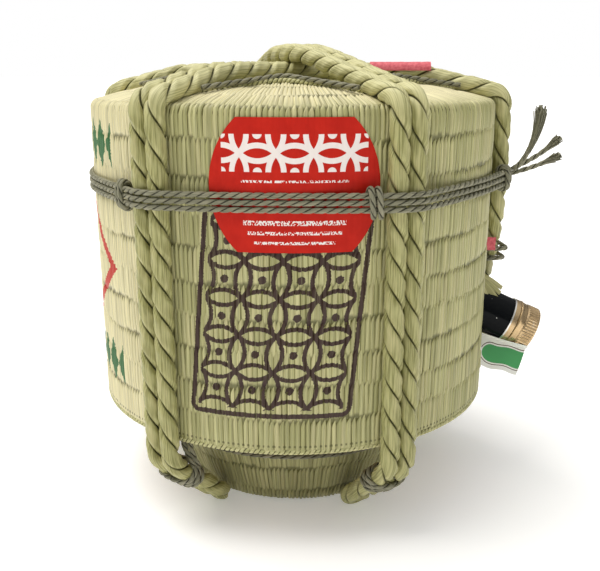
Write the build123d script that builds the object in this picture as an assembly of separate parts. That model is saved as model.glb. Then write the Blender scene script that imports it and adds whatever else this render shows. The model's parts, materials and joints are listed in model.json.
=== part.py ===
"""Small sake barrel: a cedar tub round a dark glass keg, wrapped in rush mats and lashed with straw rope."""
from build123d import *
import math
import os

# Outer rush mat, in millimetres; the barrel stands on z = 0 and its printed face looks along -Y
mat_radius = 115.0
mat_thickness = 4.5
hem_height = 55.0
rim_height = 225.5
rim_inner_round = 1.0
crown_height = 14.0
fold_inner_radius = 70.0
seam_width = 2.0
neck_hole_clearance = 1.5

# Round mat and straw pads
top_mat_thickness = 3.0
top_mat_radius = 96.0
soft_clearance = 0.3

# Cedar tub with its bamboo hoops
stave_count = 12
stave_thickness = 6.0
chime_length = 6.0
floor_height = 62.5
floor_thickness = 6.0
lid_height = 186.5
lid_thickness = 6.0
croze_depth = 3.0
wood_clearance = 0.15
hoop_thickness = 2.4
hoop_width = 11.0
lower_hoop_height = 64.5
middle_hoop_height = 146.5
upper_hoop_height = 200.5

# Foot under the tub
foot_top_radius = 88.0
foot_bottom_radius = 69.0
foot_round = 8.0
foot_mat_thickness = 4.0
foot_wall = 6.0
foot_board_thickness = 6.0

# Glass keg with a low side neck
keg_radius = 80.0
keg_height = 112.0
keg_round = 14.0
glass_thickness = 3.5
neck_tilt = 24.0
neck_height = 99.2
neck_radius = 13.4
neck_root_radius = 20.0
neck_root_depth = 30.0
neck_reach = 16.0
bore_radius = 9.8

# Screw cap and paper seal, along the axis of the neck
cap_radius = 14.0
cap_length = 12.4
cap_wall = 0.6
cap_groove_depth = 0.5
cap_groove_width = 1.6
band_length = 3.8
band_gap = 0.3
liner_thickness = 1.4
thread_clearance = 0.5
paper_thickness = 0.3
seal_top = 9.6
seal_drop = 26.0
seal_start = 6.0
seal_end = 32.0
seal_stick = 28.0
seal_flare = 8.0
seal_gap = 0.2

# Straw ropes, laid in pairs, and the thin cord
rope_diameter = 8.8
rope_gap = 0.3
rope_lift = 0.25
pair_azimuths = (60.0, 121.0, 180.0, 236.0, 290.0, 344.0)
back_foot_azimuth = 196.0
back_low = 112.5
back_high = 158.5
back_push = 3.0
back_round = 30.0
knee_height = 43.0
knee_round = 16.0
bight_height = 6.0
bight_radius = 76.0
crossing_clearance = 1.0
crossing_reach = 32.0
fold_rise = 0.6
fold_round = 45.0
tucked_end_radius = 27.0
cord_diameter = 2.9
cord_clearance = 0.2
cord_pitch = 3.35
winding_pitch = 3.5
binding_turns = 3
hitch_turns = 2
hitch_offset = 17.0
binding_share = 0.7
waist_height = 181.0
foot_cord_height = 36.0
lacing_outer = 94.0
lacing_inner = 64.0
lacing_lift = 1.1
lacing_round = 14.0
tie_heights = (128.5, 135.5)
cord_tails = ((-4.5, 95.0, 1, 42.0), (0.5, 46.0, 1, 33.0), (4.5, 28.0, 0, 31.0))

# Papers
label_azimuth = 95.0
label_bottom = 157.5
label_top = 219.5
label_edge = 54.0
label_width = 81.0
tag_length = 34.0
tag_width = 8.0
tag_inset = 2.0
chip_height = 140.5
chip_azimuth = 175.0
chip_length = 10.0

rim_round = mat_thickness + rim_inner_round
rim_axis_radius = mat_radius - rim_round
shoulder_height = rim_height - rim_round
crown_radius = (rim_axis_radius ** 2 + crown_height ** 2) / (2 * crown_height)
crown_centre = rim_height + crown_height - crown_radius
top_mat_depth = mat_thickness + soft_clearance
pad_depth = top_mat_depth + top_mat_thickness + soft_clearance
hoop_radius = mat_radius - mat_thickness - soft_clearance
stave_outer = hoop_radius - hoop_thickness
stave_inner = stave_outer - stave_thickness
stave_top = rim_height - mat_thickness - soft_clearance
stave_bottom = floor_height - chime_length
foot_top = floor_height - foot_mat_thickness
foot_slope = (foot_top_radius - foot_bottom_radius) / (foot_top - foot_round)
keg_bottom = floor_height + floor_thickness + wood_clearance
keg_top = keg_bottom + keg_height
rope_radius = rope_diameter / 2
leg_offset = rope_radius + rope_gap / 2
rope_standoff = rope_radius + rope_lift
side_radius = mat_radius + rope_standoff
cord_radius = cord_diameter / 2
cord_wrap = rope_radius + cord_radius + cord_clearance
waist_radius = mat_radius + cord_radius + cord_clearance + paper_thickness
band_start = neck_reach
shell_start = band_start + band_length + band_gap
shell_end = shell_start + cap_length
lip_reach = shell_end - cap_wall - liner_thickness - wood_clearance
finish_radius = cap_radius - cap_wall - thread_clearance
neck_frame = Plane(
    origin=(0, mat_radius, neck_height),
    x_dir=(1, 0, 0),
    z_dir=(0, math.cos(math.radians(neck_tilt)), -math.sin(math.radians(neck_tilt))),
)


def outward(azimuth):
    """Level unit vector out of the barrel: azimuth 0 is the printed face and 90 is +X."""
    turn = math.radians(azimuth)
    return Vector(math.sin(turn), -math.cos(turn), 0)


def sideways(azimuth):
    """Level unit vector round the barrel, towards larger azimuths."""
    turn = math.radians(azimuth)
    return Vector(math.cos(turn), math.sin(turn), 0)


def place(azimuth, radius, side, height):
    """Point at a radius and a height, moved sideways from an azimuth."""
    return outward(azimuth) * radius + sideways(azimuth) * side + Vector(0, 0, height)


def turned(*outline):
    """Solid of revolution about Z of an outline given as radius and height."""
    edges = [edge for line in outline for edge in line.edges()]
    return revolve(Plane.XZ * make_face(edges), Axis.Z)


def ring(inner, outer, bottom, top):
    """Upright ring, or a disc where the inner radius is 0."""
    return turned(Polyline((inner, bottom), (outer, bottom), (outer, top), (inner, top), close=True))


def crown_z(radius, depth):
    """Height of the domed top at a radius, at a depth below the fold's upper face."""
    return crown_centre + math.sqrt((crown_radius - depth) ** 2 - radius ** 2)


def crown_arc(depth, start, end):
    """Arc of the domed top between two radii."""
    return ThreePointArc(*[(radius, crown_z(radius, depth)) for radius in (start, (start + end) / 2, end)])


def tube(path, diameter):
    """Round cord along a path."""
    section = Plane(path @ 0, z_dir=path % 0) * Circle(diameter / 2)
    return sweep(section, path=path)


def on_neck(*outline):
    """Solid of revolution about the neck's axis, given as radius and reach from the mat's face."""
    return neck_frame * turned(*outline)


def neck_ring(inner, outer, start, end):
    """Ring, or a disc where the inner radius is 0, about the neck's axis."""
    return neck_frame * ring(inner, outer, start, end)


def side_mat():
    """Wall of woven rush that folds in over the rim, open at its seam and where the neck comes out."""
    inner = mat_radius - mat_thickness
    under = rim_height - mat_thickness
    fold_start = rim_axis_radius - rim_inner_round
    rim_axis = (rim_axis_radius, shoulder_height)
    mat = turned(
        Polyline((inner, shoulder_height), (inner, hem_height), (mat_radius, hem_height), (mat_radius, shoulder_height)),
        CenterArc(rim_axis, rim_round, 0, 90),
        crown_arc(0, rim_axis_radius, fold_inner_radius),
        Line((fold_inner_radius, crown_z(fold_inner_radius, 0)),
             (fold_inner_radius, crown_z(fold_inner_radius, mat_thickness))),
        crown_arc(mat_thickness, fold_inner_radius, fold_start),
        Line((fold_start, crown_z(fold_start, mat_thickness)), (rim_axis_radius, under)),
        CenterArc(rim_axis, rim_inner_round, 0, 90),
    )
    seam = Pos(0, mat_radius, rim_height / 2) * Box(seam_width, mat_radius, 2 * rim_height)
    hole = neck_ring(0, neck_radius + neck_hole_clearance, -mat_radius / 2, neck_reach)
    return mat - seam - hole


def top_mat():
    """Round mat under the folded edge."""
    lower = top_mat_depth + top_mat_thickness
    return turned(
        crown_arc(top_mat_depth, 0, top_mat_radius),
        Line((top_mat_radius, crown_z(top_mat_radius, top_mat_depth)), (top_mat_radius, crown_z(top_mat_radius, lower))),
        crown_arc(lower, top_mat_radius, 0),
        Line((0, crown_z(0, lower)), (0, crown_z(0, top_mat_depth))),
    )


def top_pad():
    """Straw pad that fills the tub above its lid and gives the top its dome."""
    radius = stave_inner - soft_clearance
    bottom = lid_height + lid_thickness + soft_clearance
    return turned(
        crown_arc(pad_depth, 0, radius),
        Polyline((radius, crown_z(radius, pad_depth)), (radius, bottom), (0, bottom), (0, crown_z(0, pad_depth))),
    )


def foot_radius(height, depth):
    """Radius of the sloping foot at a height, at a depth inside the foot mat."""
    return foot_bottom_radius + (height - foot_round) * foot_slope - depth


def foot_mat():
    """Cup of matting under the tub, which the barrel stands on."""
    inner_top = foot_radius(foot_top, foot_mat_thickness)
    inner_bottom = foot_radius(foot_mat_thickness, foot_mat_thickness)
    flat_radius = foot_bottom_radius - foot_round
    bend = 1 - math.sqrt(0.5)
    round_middle = (foot_bottom_radius - bend * foot_round, bend * foot_round)
    return turned(
        Line((0, 0), (flat_radius, 0)),
        ThreePointArc((flat_radius, 0), round_middle, (foot_bottom_radius, foot_round)),
        Polyline((foot_bottom_radius, foot_round), (foot_top_radius, foot_top), (inner_top, foot_top),
                 (inner_bottom, foot_mat_thickness), (0, foot_mat_thickness), (0, 0)),
    )


def foot_ring():
    """Bent wood ring in the foot mat that carries the tub's floor."""
    depth = foot_mat_thickness + soft_clearance
    outer_bottom = foot_radius(foot_mat_thickness, depth)
    outer_top = foot_radius(floor_height, depth)
    return turned(Polyline(
        (outer_bottom - foot_wall, foot_mat_thickness), (outer_bottom, foot_mat_thickness),
        (outer_top, floor_height), (outer_top - foot_wall, floor_height), close=True))


def foot_board():
    """Round board that closes the foot ring at the bottom."""
    depth = foot_mat_thickness + soft_clearance + foot_wall + wood_clearance
    return ring(0, foot_radius(foot_mat_thickness, depth), foot_mat_thickness,
                foot_mat_thickness + foot_board_thickness)


def staves():
    """Tub wall with its two croze grooves and the neck's hole, cut into staves."""
    wall = ring(stave_inner, stave_outer, stave_bottom, stave_top)
    groove_outer = stave_inner + croze_depth
    for bottom, thickness in ((floor_height, floor_thickness), (lid_height, lid_thickness)):
        wall -= ring(0, groove_outer, bottom - wood_clearance, bottom + thickness + wood_clearance)
    wall -= neck_ring(0, neck_root_radius + neck_hole_clearance, -mat_radius / 2, neck_reach)
    span = 360 / stave_count
    reach = 2 * mat_radius
    pieces = {}
    for index in range(stave_count):
        middle = index * span
        edges = [outward(middle + turn) * reach for turn in (-span / 2, 0, span / 2)]
        wedge = extrude(make_face(Polyline((0, 0, 0), *edges, close=True)), rim_height, dir=(0, 0, 1))
        pieces[f"stave_{index + 1:02d}"] = wall & wedge
    return pieces


def head_board(bottom, thickness):
    """Round board that sits in a croze groove."""
    return ring(0, stave_inner + croze_depth - wood_clearance, bottom, bottom + thickness)


def keg():
    """Glass keg: an upright round body with a neck that slopes out of its low side."""
    def body(shrink):
        radius = keg_radius - shrink
        solid = ring(0, radius, keg_bottom + shrink, keg_top - shrink)
        return fillet(solid.edges(), keg_round - shrink)

    root_reach = -neck_root_depth
    deep = -(mat_radius - keg_radius + keg_round + neck_root_depth)
    outer = on_neck(Polyline(
        (0, deep), (neck_root_radius, deep), (neck_root_radius, root_reach), (neck_radius, -mat_thickness),
        (neck_radius, neck_reach - seal_gap), (finish_radius, neck_reach - seal_gap),
        (finish_radius, lip_reach), (0, lip_reach), close=True))
    bore_root = neck_root_radius - glass_thickness
    bore = on_neck(Polyline(
        (0, deep - keg_round), (bore_root, deep - keg_round), (bore_root, root_reach), (bore_radius, -mat_thickness),
        (bore_radius, lip_reach), (0, lip_reach), close=True))
    inside = body(glass_thickness)
    glass = (body(0) + outer) - inside - bore
    print(f"keg holds {(inside.volume + bore.volume - (inside & bore).volume) / 1e6:.2f} litres")
    return glass


def keg_packing():
    """Straw packed between the keg and the staves."""
    packing = ring(keg_radius + soft_clearance, stave_inner - soft_clearance, keg_bottom, keg_top)
    return packing - neck_ring(0, neck_root_radius + soft_clearance, -mat_radius / 2, neck_reach)


def cap_shell():
    """Screw cap: a thin cup with a rolled groove round it."""
    groove = shell_start + cap_groove_width
    return on_neck(Polyline(
        (cap_radius - cap_wall, shell_start), (cap_radius, shell_start),
        (cap_radius, groove), (cap_radius - cap_groove_depth, groove + cap_groove_width / 2),
        (cap_radius, groove + cap_groove_width), (cap_radius, shell_end - cap_wall),
        (cap_radius - cap_wall, shell_end), (0, shell_end), (0, shell_end - cap_wall),
        (cap_radius - cap_wall - cap_groove_depth / 2, shell_end - cap_wall),
        (cap_radius - cap_wall - cap_groove_depth / 2, groove - cap_groove_width / 2),
        (cap_radius - cap_wall, groove - cap_groove_width / 2), close=True))


def seal_strip(start, end):
    """Part of the paper seal: creased along the cap's lower side, with its free edge hanging down."""
    inner = cap_radius + wood_clearance
    outer = inner + paper_thickness
    crease = math.asin(seal_top / inner)
    stick = math.radians(seal_stick)

    def on_cap(radius, angle):
        return (radius * math.cos(angle), radius * math.sin(angle))

    middle = (crease + stick) / 2
    foot_inner = (on_cap(inner, crease)[0] + seal_flare, seal_drop)
    foot_outer = (on_cap(outer, crease)[0] + seal_flare, seal_drop)
    edges = [
        ThreePointArc(on_cap(inner, stick), on_cap(inner, middle), on_cap(inner, crease)),
        Polyline(on_cap(inner, crease), foot_inner, foot_outer, on_cap(outer, crease)),
        ThreePointArc(on_cap(outer, crease), on_cap(outer, middle), on_cap(outer, stick)),
        Line(on_cap(outer, stick), on_cap(inner, stick)),
    ]
    face = make_face([edge for line in edges for edge in line.edges()])
    strip = neck_frame * (Pos(0, 0, start) * extrude(face, end - start))
    return strip - ring(0, mat_radius + 2 * paper_thickness, 0, rim_height)


def rim_corner_height():
    """Height where the rope's side run meets its run over the rim and on to the fold's edge."""
    reach = rim_round + rope_standoff
    step = Vector(fold_inner_radius - rim_axis_radius,
                  crown_z(fold_inner_radius, 0) + fold_rise + rope_standoff - shoulder_height)
    normal = math.atan2(step.Y, step.X) - math.acos(reach / step.length)
    return shoulder_height + (reach - math.cos(normal) * (side_radius - rim_axis_radius)) / math.sin(normal)


def foot_points(azimuth, side):
    """Lower route of one leg: from the middle of the bight round to the knee under the hem."""
    return [
        place(azimuth, bight_radius, 0, bight_height),
        place(azimuth, bight_radius, side, bight_height),
        place(azimuth, side_radius, side, knee_height),
    ]


def top_points(azimuth, side):
    """Upper route of one leg: over the rim to the fold's edge."""
    return [
        place(azimuth, side_radius, side, rim_corner_height()),
        place(azimuth, fold_inner_radius, side, crown_z(fold_inner_radius, 0) + fold_rise + rope_standoff),
    ]


def crossing_leg(near_azimuth, far_azimuth, side, height):
    """Rope leg from one bight over the top to the bight on the far side."""
    near, far = [
        foot_points(azimuth, offset) + top_points(azimuth, offset) + [place(azimuth, crossing_reach, offset, height)]
        for azimuth, offset in ((near_azimuth, side), (far_azimuth, -side))
    ]
    bends = [leg_offset - rope_gap / 4, knee_round, rim_round + rope_standoff, fold_round, fold_round]
    return tube(FilletPolyline(*near, *far[::-1], radius=bends + bends[::-1]), rope_diameter)


def crossing_rope(near, far, height):
    """Closed loop of rope, laid double from one side of the barrel to the other."""
    return crossing_leg(near, far, leg_offset, height) + crossing_leg(near, far, -leg_offset, height)


def tucked_end(azimuth, side):
    """End of a rope leg that is tucked in under the crossing."""
    return place(azimuth, tucked_end_radius, side, crown_z(tucked_end_radius, top_mat_depth) + rope_standoff)


def front_leg(side):
    """Rope leg beside the printed face, which ends at the crossing."""
    azimuth = pair_azimuths[5]
    points = foot_points(azimuth, side) + top_points(azimuth, side) + [tucked_end(azimuth, side)]
    bends = [leg_offset - rope_gap / 4, knee_round, rim_round + rope_standoff, fold_round]
    return tube(FilletPolyline(*points, radius=bends), rope_diameter)


def back_leg(side):
    """Rope leg at the back, which swings round the neck and ends at the crossing."""
    azimuth = pair_azimuths[2]
    points = foot_points(back_foot_azimuth, side) + [
        place(back_foot_azimuth, side_radius + back_push, side, back_low),
        place(azimuth, side_radius, side, back_high),
    ] + top_points(azimuth, side) + [tucked_end(azimuth, side)]
    bends = [leg_offset - rope_gap / 4, knee_round, back_round, back_round, rim_round + rope_standoff, fold_round]
    return tube(FilletPolyline(*points, radius=bends), rope_diameter)


def winding(frame, half_gap, wrap, turns):
    """Unbroken cord wound about a frame's z axis, round two rods that stand half a gap each side."""
    corners = [(1, -1), (1, 1), (-1, 1), (-1, -1)]
    reach = half_gap + wrap
    rise = -winding_pitch * turns / 2
    points = [Vector(0, -wrap, rise)]
    for index in range(4 * turns):
        x_sign, y_sign = corners[index % 4]
        climb = rise + winding_pitch * (index + 0.5) / 4
        points.append(Vector(x_sign * reach, y_sign * wrap, climb))
    points.append(Vector(0, -wrap, -rise))
    path = FilletPolyline(*[frame.from_local_coords(point) for point in points], radius=wrap - cord_clearance)
    return tube(path, cord_diameter)


def binding(azimuth):
    """Cord wound round a rope pair just under the hem."""
    bight = place(azimuth, bight_radius, 0, bight_height)
    knee = place(azimuth, side_radius, 0, knee_height)
    along = knee - bight
    frame = Plane(origin=bight + along * binding_share, x_dir=sideways(azimuth), z_dir=along)
    return winding(frame, leg_offset, cord_wrap, binding_turns)


def tangent_turn():
    """Angle from a rope pair to where the waist cord comes down on the mat."""
    leg_distance = math.hypot(side_radius, leg_offset)
    lean = math.degrees(math.atan2(leg_offset, side_radius))
    return lean + math.degrees(math.acos((waist_radius - cord_wrap) / leg_distance))


def line_crossing(first, first_reach, second, second_reach):
    """Level point where two lines cross, each given by the azimuth of its normal and its reach."""
    a, b = outward(first), outward(second)
    area = a.X * b.Y - a.Y * b.X
    return Vector((first_reach * b.Y - second_reach * a.Y) / area, (second_reach * a.X - first_reach * b.X) / area, 0)


def waist_cord(height):
    """Taut ring of cord round the mat and over every rope pair."""
    points = []
    radii = []
    turn = tangent_turn()
    crest = side_radius + cord_wrap
    ends = pair_azimuths[1:] + (pair_azimuths[0] + 360,)
    for here, there in zip(pair_azimuths, ends):
        points.append(line_crossing(here, crest, here + turn, waist_radius))
        points.append(line_crossing(here + turn, waist_radius, there - turn, waist_radius))
        points.append(line_crossing(there - turn, waist_radius, there, crest))
        radii += [cord_wrap, waist_radius, cord_wrap]
    path = FilletPolyline(*[point + Vector(0, 0, height) for point in points], radius=radii, close=True)
    return tube(path, cord_diameter)


def waist_hitch(azimuth):
    """Cord wound round the three waist strands where they leave a rope pair."""
    normal = azimuth - tangent_turn()
    run = sideways(normal)
    corner = line_crossing(azimuth, side_radius + cord_wrap, normal, waist_radius)
    origin = corner - run * (hitch_offset - leg_offset) + Vector(0, 0, waist_height)
    frame = Plane(origin=origin, x_dir=(0, 0, 1), z_dir=run)
    return winding(frame, cord_pitch, cord_diameter + cord_clearance, hitch_turns)


def top_lacing():
    """Cord laced from rope to rope over the folded edge of the mat."""
    start_side = leg_offset + rope_radius + cord_diameter
    ends = pair_azimuths[1:] + (pair_azimuths[0] + 360,)
    cord_height = cord_radius + lacing_lift
    outer_height = crown_z(lacing_outer, 0) + cord_height
    inner_height = crown_z(lacing_inner, 0) + cord_height
    solids = []
    for here, there in zip(pair_azimuths, ends):
        path = FilletPolyline(
            place(here, lacing_outer, start_side, outer_height),
            place((here + there) / 2, lacing_inner, 0, inner_height),
            place(there, lacing_outer, -start_side, outer_height),
            radius=lacing_round)
        solids.append(tube(path, cord_diameter))
    return Compound(children=solids)


def seam_tie():
    """Two cord staples that hold the back rope against the mat's seam."""
    swing = back_foot_azimuth - pair_azimuths[2]
    slant = math.atan2(math.radians(swing) * side_radius, back_high - back_low)
    half = (leg_offset + cord_wrap) / math.cos(slant) + cord_clearance
    crest = side_radius + back_push + cord_wrap + cord_clearance
    base = math.sqrt((mat_radius + 2 * cord_clearance) ** 2 - half ** 2)
    solids = []
    for height in tie_heights:
        azimuth = pair_azimuths[2] + swing * (back_high - height) / (back_high - back_low)
        points = [
            place(azimuth, base, -half, height),
            place(azimuth, crest, -half, height),
            place(azimuth, crest, half, height),
            place(azimuth, base, half, height),
        ]
        solids.append(tube(FilletPolyline(*points, radius=cord_wrap / 2), cord_diameter))
    return Compound(children=solids)


def cord_tail(side, lean, height, reach):
    """Free cut end of the waist cord at the back rope: sideways place, upward lean and length."""
    azimuth = pair_azimuths[2]
    first = math.radians(lean / 2)
    last = math.radians(lean)
    strand_face = side_radius + cord_wrap + cord_radius
    start = place(azimuth, strand_face + cord_radius * math.sin(first) + cord_clearance, side, height)
    out, up = outward(azimuth), Vector(0, 0, 1)
    middle = start + (out * math.cos(first) + up * math.sin(first)) * (reach / 2)
    end = middle + (out * math.cos(last) + up * math.sin(last)) * (reach / 2)
    bend = 0.45 * (reach / 2) / math.tan((last - first) / 2)
    print(f"cord tail bend radius {bend:.1f}")
    return tube(FilletPolyline(start, middle, end, radius=bend), cord_diameter)


def paper_label():
    """Paper label on the side panel, with bowed sides."""
    half_edge = label_edge / 2
    half_width = label_width / 2
    middle = (label_bottom + label_top) / 2
    edges = [
        Line((-half_edge, label_bottom), (half_edge, label_bottom)),
        ThreePointArc((half_edge, label_bottom), (half_width, middle), (half_edge, label_top)),
        Line((half_edge, label_top), (-half_edge, label_top)),
        ThreePointArc((-half_edge, label_top), (-half_width, middle), (-half_edge, label_bottom)),
    ]
    face = Plane(origin=(0, 0, 0), x_dir=sideways(label_azimuth), z_dir=outward(label_azimuth)) * make_face(edges)
    skin = ring(mat_radius, mat_radius + paper_thickness, label_bottom, label_top)
    return skin & extrude(face, 2 * mat_radius)


def paper_tags():
    """Two bits of pink paper: a strip on the back rope's end and a chip beside the seam."""
    azimuth = pair_azimuths[2]
    near = tucked_end_radius + tag_inset
    far = near + tag_length
    top = crown_z(tucked_end_radius, top_mat_depth) + 2 * rope_radius + rope_lift + wood_clearance
    rise = crown_z(fold_inner_radius, 0) + fold_rise - crown_z(tucked_end_radius, top_mat_depth)
    slope = rise / (fold_inner_radius - tucked_end_radius)
    start = place(azimuth, near, 0, top + slope * tag_inset)
    along = place(azimuth, far, 0, top + slope * (tag_inset + tag_length)) - start
    strip_frame = Plane(origin=start + along * 0.5, x_dir=along, z_dir=Vector(0, 0, 1) - outward(azimuth) * slope)
    strip = strip_frame * Pos(0, 0, paper_thickness) * Box(tag_length, tag_width, paper_thickness)
    chip_frame = Plane(origin=place(chip_azimuth, mat_radius + paper_thickness, 0, chip_height),
                       x_dir=(0, 0, 1), z_dir=outward(chip_azimuth))
    chip = chip_frame * Box(chip_length, tag_width / 2, paper_thickness)
    return Compound(children=[strip, chip])


def build():
    """All pieces of the barrel by node name."""
    parts = staves()
    parts["tub_floor"] = head_board(floor_height, floor_thickness)
    parts["tub_lid"] = head_board(lid_height, lid_thickness)
    hoop_heights = {"lower": lower_hoop_height, "middle": middle_hoop_height, "upper": upper_hoop_height}
    for name, bottom in hoop_heights.items():
        parts[f"{name}_hoop"] = ring(stave_outer, hoop_radius, bottom, bottom + hoop_width)
    parts["foot_ring"] = foot_ring()
    parts["foot_board"] = foot_board()
    parts["keg"] = keg()
    parts["keg_packing"] = keg_packing()
    parts["keg_pad"] = ring(0, keg_radius, keg_top + soft_clearance, lid_height - soft_clearance)
    parts["top_pad"] = top_pad()
    parts["side_mat"] = side_mat()
    parts["top_mat"] = top_mat()
    parts["foot_mat"] = foot_mat()
    parts["tamper_band"] = neck_ring(finish_radius + thread_clearance, cap_radius, band_start, band_start + band_length)
    parts["cap_shell"] = cap_shell()
    parts["cap_liner"] = neck_ring(0, finish_radius, lip_reach + wood_clearance, shell_end - cap_wall)
    tear_line = shell_start - band_gap / 2
    parts["seal_strip_neck"] = seal_strip(seal_start, tear_line - seal_gap / 2)
    parts["seal_strip_cap"] = seal_strip(tear_line + seal_gap / 2, seal_end)
    lower_centre = crown_z(0, top_mat_depth) + rope_standoff
    upper_centre = lower_centre + rope_diameter + crossing_clearance
    parts["rope_left"] = crossing_rope(pair_azimuths[0], pair_azimuths[3], lower_centre)
    parts["rope_right"] = crossing_rope(pair_azimuths[1], pair_azimuths[4], upper_centre)
    parts["rope_back"] = back_leg(leg_offset) + back_leg(-leg_offset)
    parts["rope_front"] = front_leg(leg_offset) + front_leg(-leg_offset)
    for index, azimuth in enumerate(pair_azimuths):
        foot_azimuth = back_foot_azimuth if index == 2 else azimuth
        parts[f"rope_binding_{index + 1}"] = binding(foot_azimuth)
        parts[f"waist_hitch_{index + 1}"] = waist_hitch(azimuth)
    for name, step in (("lower", -1), ("middle", 0), ("upper", 1)):
        parts[f"waist_cord_{name}"] = waist_cord(waist_height + step * cord_pitch)
    foot_cord_radius = foot_radius(foot_cord_height, 0) + cord_radius + cord_clearance
    parts["foot_cord"] = Pos(0, 0, foot_cord_height) * Torus(foot_cord_radius, cord_radius)
    parts["top_lacing"] = top_lacing()
    parts["seam_tie"] = seam_tie()
    for index, (side, lean, step, reach) in enumerate(cord_tails):
        parts[f"cord_tail_{index + 1}"] = cord_tail(side, lean, waist_height + step * cord_pitch, reach)
    parts["paper_label"] = paper_label()
    parts["paper_tags"] = paper_tags()
    return parts


os.makedirs("parts", exist_ok=True)
for node, solid in build().items():
    export_step(solid, f"parts/{node}.step")
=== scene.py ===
"""Looks of a small straw-wrapped sake barrel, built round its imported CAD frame.

Lengths are in metres in the row frame: +Z is up and the barrel stands on z = 0. Azimuths are in
degrees: 0 looks out of the printed face along -Y, 90 is +X and 180 is the neck's side, +Y.
"""

from __future__ import annotations

import json
import logging
import math
from dataclasses import dataclass, field
from enum import Enum
from functools import cache
from typing import Callable, Sequence

import bmesh
import bpy
import numpy as np
from bpy.types import Material, Mesh, Node, NodeSocket, NodeTree, Object
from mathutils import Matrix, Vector

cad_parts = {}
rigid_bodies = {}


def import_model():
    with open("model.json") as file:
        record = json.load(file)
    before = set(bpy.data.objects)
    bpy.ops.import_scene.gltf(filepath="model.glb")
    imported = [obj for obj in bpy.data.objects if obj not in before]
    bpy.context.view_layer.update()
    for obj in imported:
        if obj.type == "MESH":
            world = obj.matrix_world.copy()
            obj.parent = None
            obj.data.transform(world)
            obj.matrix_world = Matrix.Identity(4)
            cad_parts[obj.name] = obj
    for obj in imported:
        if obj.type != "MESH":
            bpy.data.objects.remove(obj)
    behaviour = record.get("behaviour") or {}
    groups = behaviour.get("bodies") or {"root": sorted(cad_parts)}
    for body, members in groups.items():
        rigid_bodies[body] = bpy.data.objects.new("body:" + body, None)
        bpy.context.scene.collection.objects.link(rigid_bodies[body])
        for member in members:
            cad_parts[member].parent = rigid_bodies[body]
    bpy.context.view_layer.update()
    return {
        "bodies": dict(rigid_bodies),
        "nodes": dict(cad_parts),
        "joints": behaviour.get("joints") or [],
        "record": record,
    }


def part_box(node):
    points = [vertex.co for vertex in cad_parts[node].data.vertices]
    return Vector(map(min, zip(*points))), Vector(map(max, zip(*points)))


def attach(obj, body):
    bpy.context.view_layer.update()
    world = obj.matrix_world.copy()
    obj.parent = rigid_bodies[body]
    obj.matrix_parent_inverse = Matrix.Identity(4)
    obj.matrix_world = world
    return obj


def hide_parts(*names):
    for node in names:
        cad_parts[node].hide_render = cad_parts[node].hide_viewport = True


LOG = logging.getLogger("barrel")
MM = 0.001

# Mat
MAT_RADIUS = 115 * MM
MAT_WALL = 4.4 * MM
HEM = 55 * MM
HEM_LEAD = 6 * MM
RIM = 225.5 * MM
RIM_ROUND = 5.5 * MM
CROWN = 14 * MM
RIM_AXIS = MAT_RADIUS - RIM_ROUND
SHOULDER = RIM - RIM_ROUND
CROWN_RADIUS = (RIM_AXIS**2 + CROWN**2) / (2 * CROWN)
CROWN_CENTRE = RIM + CROWN - CROWN_RADIUS

# Ropes and cords
PAIRS = (60.0, 121.0, 180.0, 236.0, 290.0, 344.0)
NEXT_PAIRS = PAIRS[1:] + (PAIRS[0] + 360,)
BACK = PAIRS[2]
FRONT = PAIRS[5]
FOOT_SWING = 196.0
SIDE = 119.65 * MM
LEG = 5.0 * MM
ROPE_RADIUS = 4.4 * MM
PLUMP = 1.12
CORD_RADIUS = 1.45 * MM
CORD_WRAP = 6.05 * MM
CORD_PITCH = 3.35 * MM
WAIST = 181 * MM
WAIST_RADIUS = 116.95 * MM
BIGHT = (76 * MM, 6 * MM)
KNEE = (SIDE, 43 * MM)

# Neck
NECK = Vector((0, MAT_RADIUS, 99.2 * MM))
NECK_TILT = math.radians(24)
NECK_AXIS = Vector((0, math.cos(NECK_TILT), -math.sin(NECK_TILT)))
NECK_DOWN = Vector((0, -math.sin(NECK_TILT), -math.cos(NECK_TILT)))
NECK_HOLE = 14.9 * MM

# Bodies of the frame
CASK = "cask"
CAP = "cap"


def outward(azimuth: float) -> Vector:
    """Level unit vector out of the barrel at an azimuth."""
    turn = math.radians(azimuth)
    return Vector((math.sin(turn), -math.cos(turn), 0))


def sideways(azimuth: float) -> Vector:
    """Level unit vector round the barrel, towards larger azimuths."""
    turn = math.radians(azimuth)
    return Vector((math.cos(turn), math.sin(turn), 0))


def place(azimuth: float, radius: float, side: float, height: float) -> Vector:
    """Point at a radius and a height, moved sideways from an azimuth."""
    return outward(azimuth) * radius + sideways(azimuth) * side + Vector((0, 0, height))


def on_neck(x: float, down: float, reach: float) -> Vector:
    """Point by the neck's axis: across it, below it, and out along it from the mat's face."""
    return NECK + Vector((x, 0, 0)) + NECK_DOWN * down + NECK_AXIS * reach


def crown_z(radius: float, depth: float = 0.0) -> float:
    """Height of the domed top at a radius and a depth below the fold's face."""
    return CROWN_CENTRE + math.sqrt((CROWN_RADIUS - depth) ** 2 - radius**2)


def azimuths(points: np.ndarray) -> np.ndarray:
    """Azimuth of every point, from 0 to 360."""
    return np.degrees(np.arctan2(points[:, 0], -points[:, 1])) % 360


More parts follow.
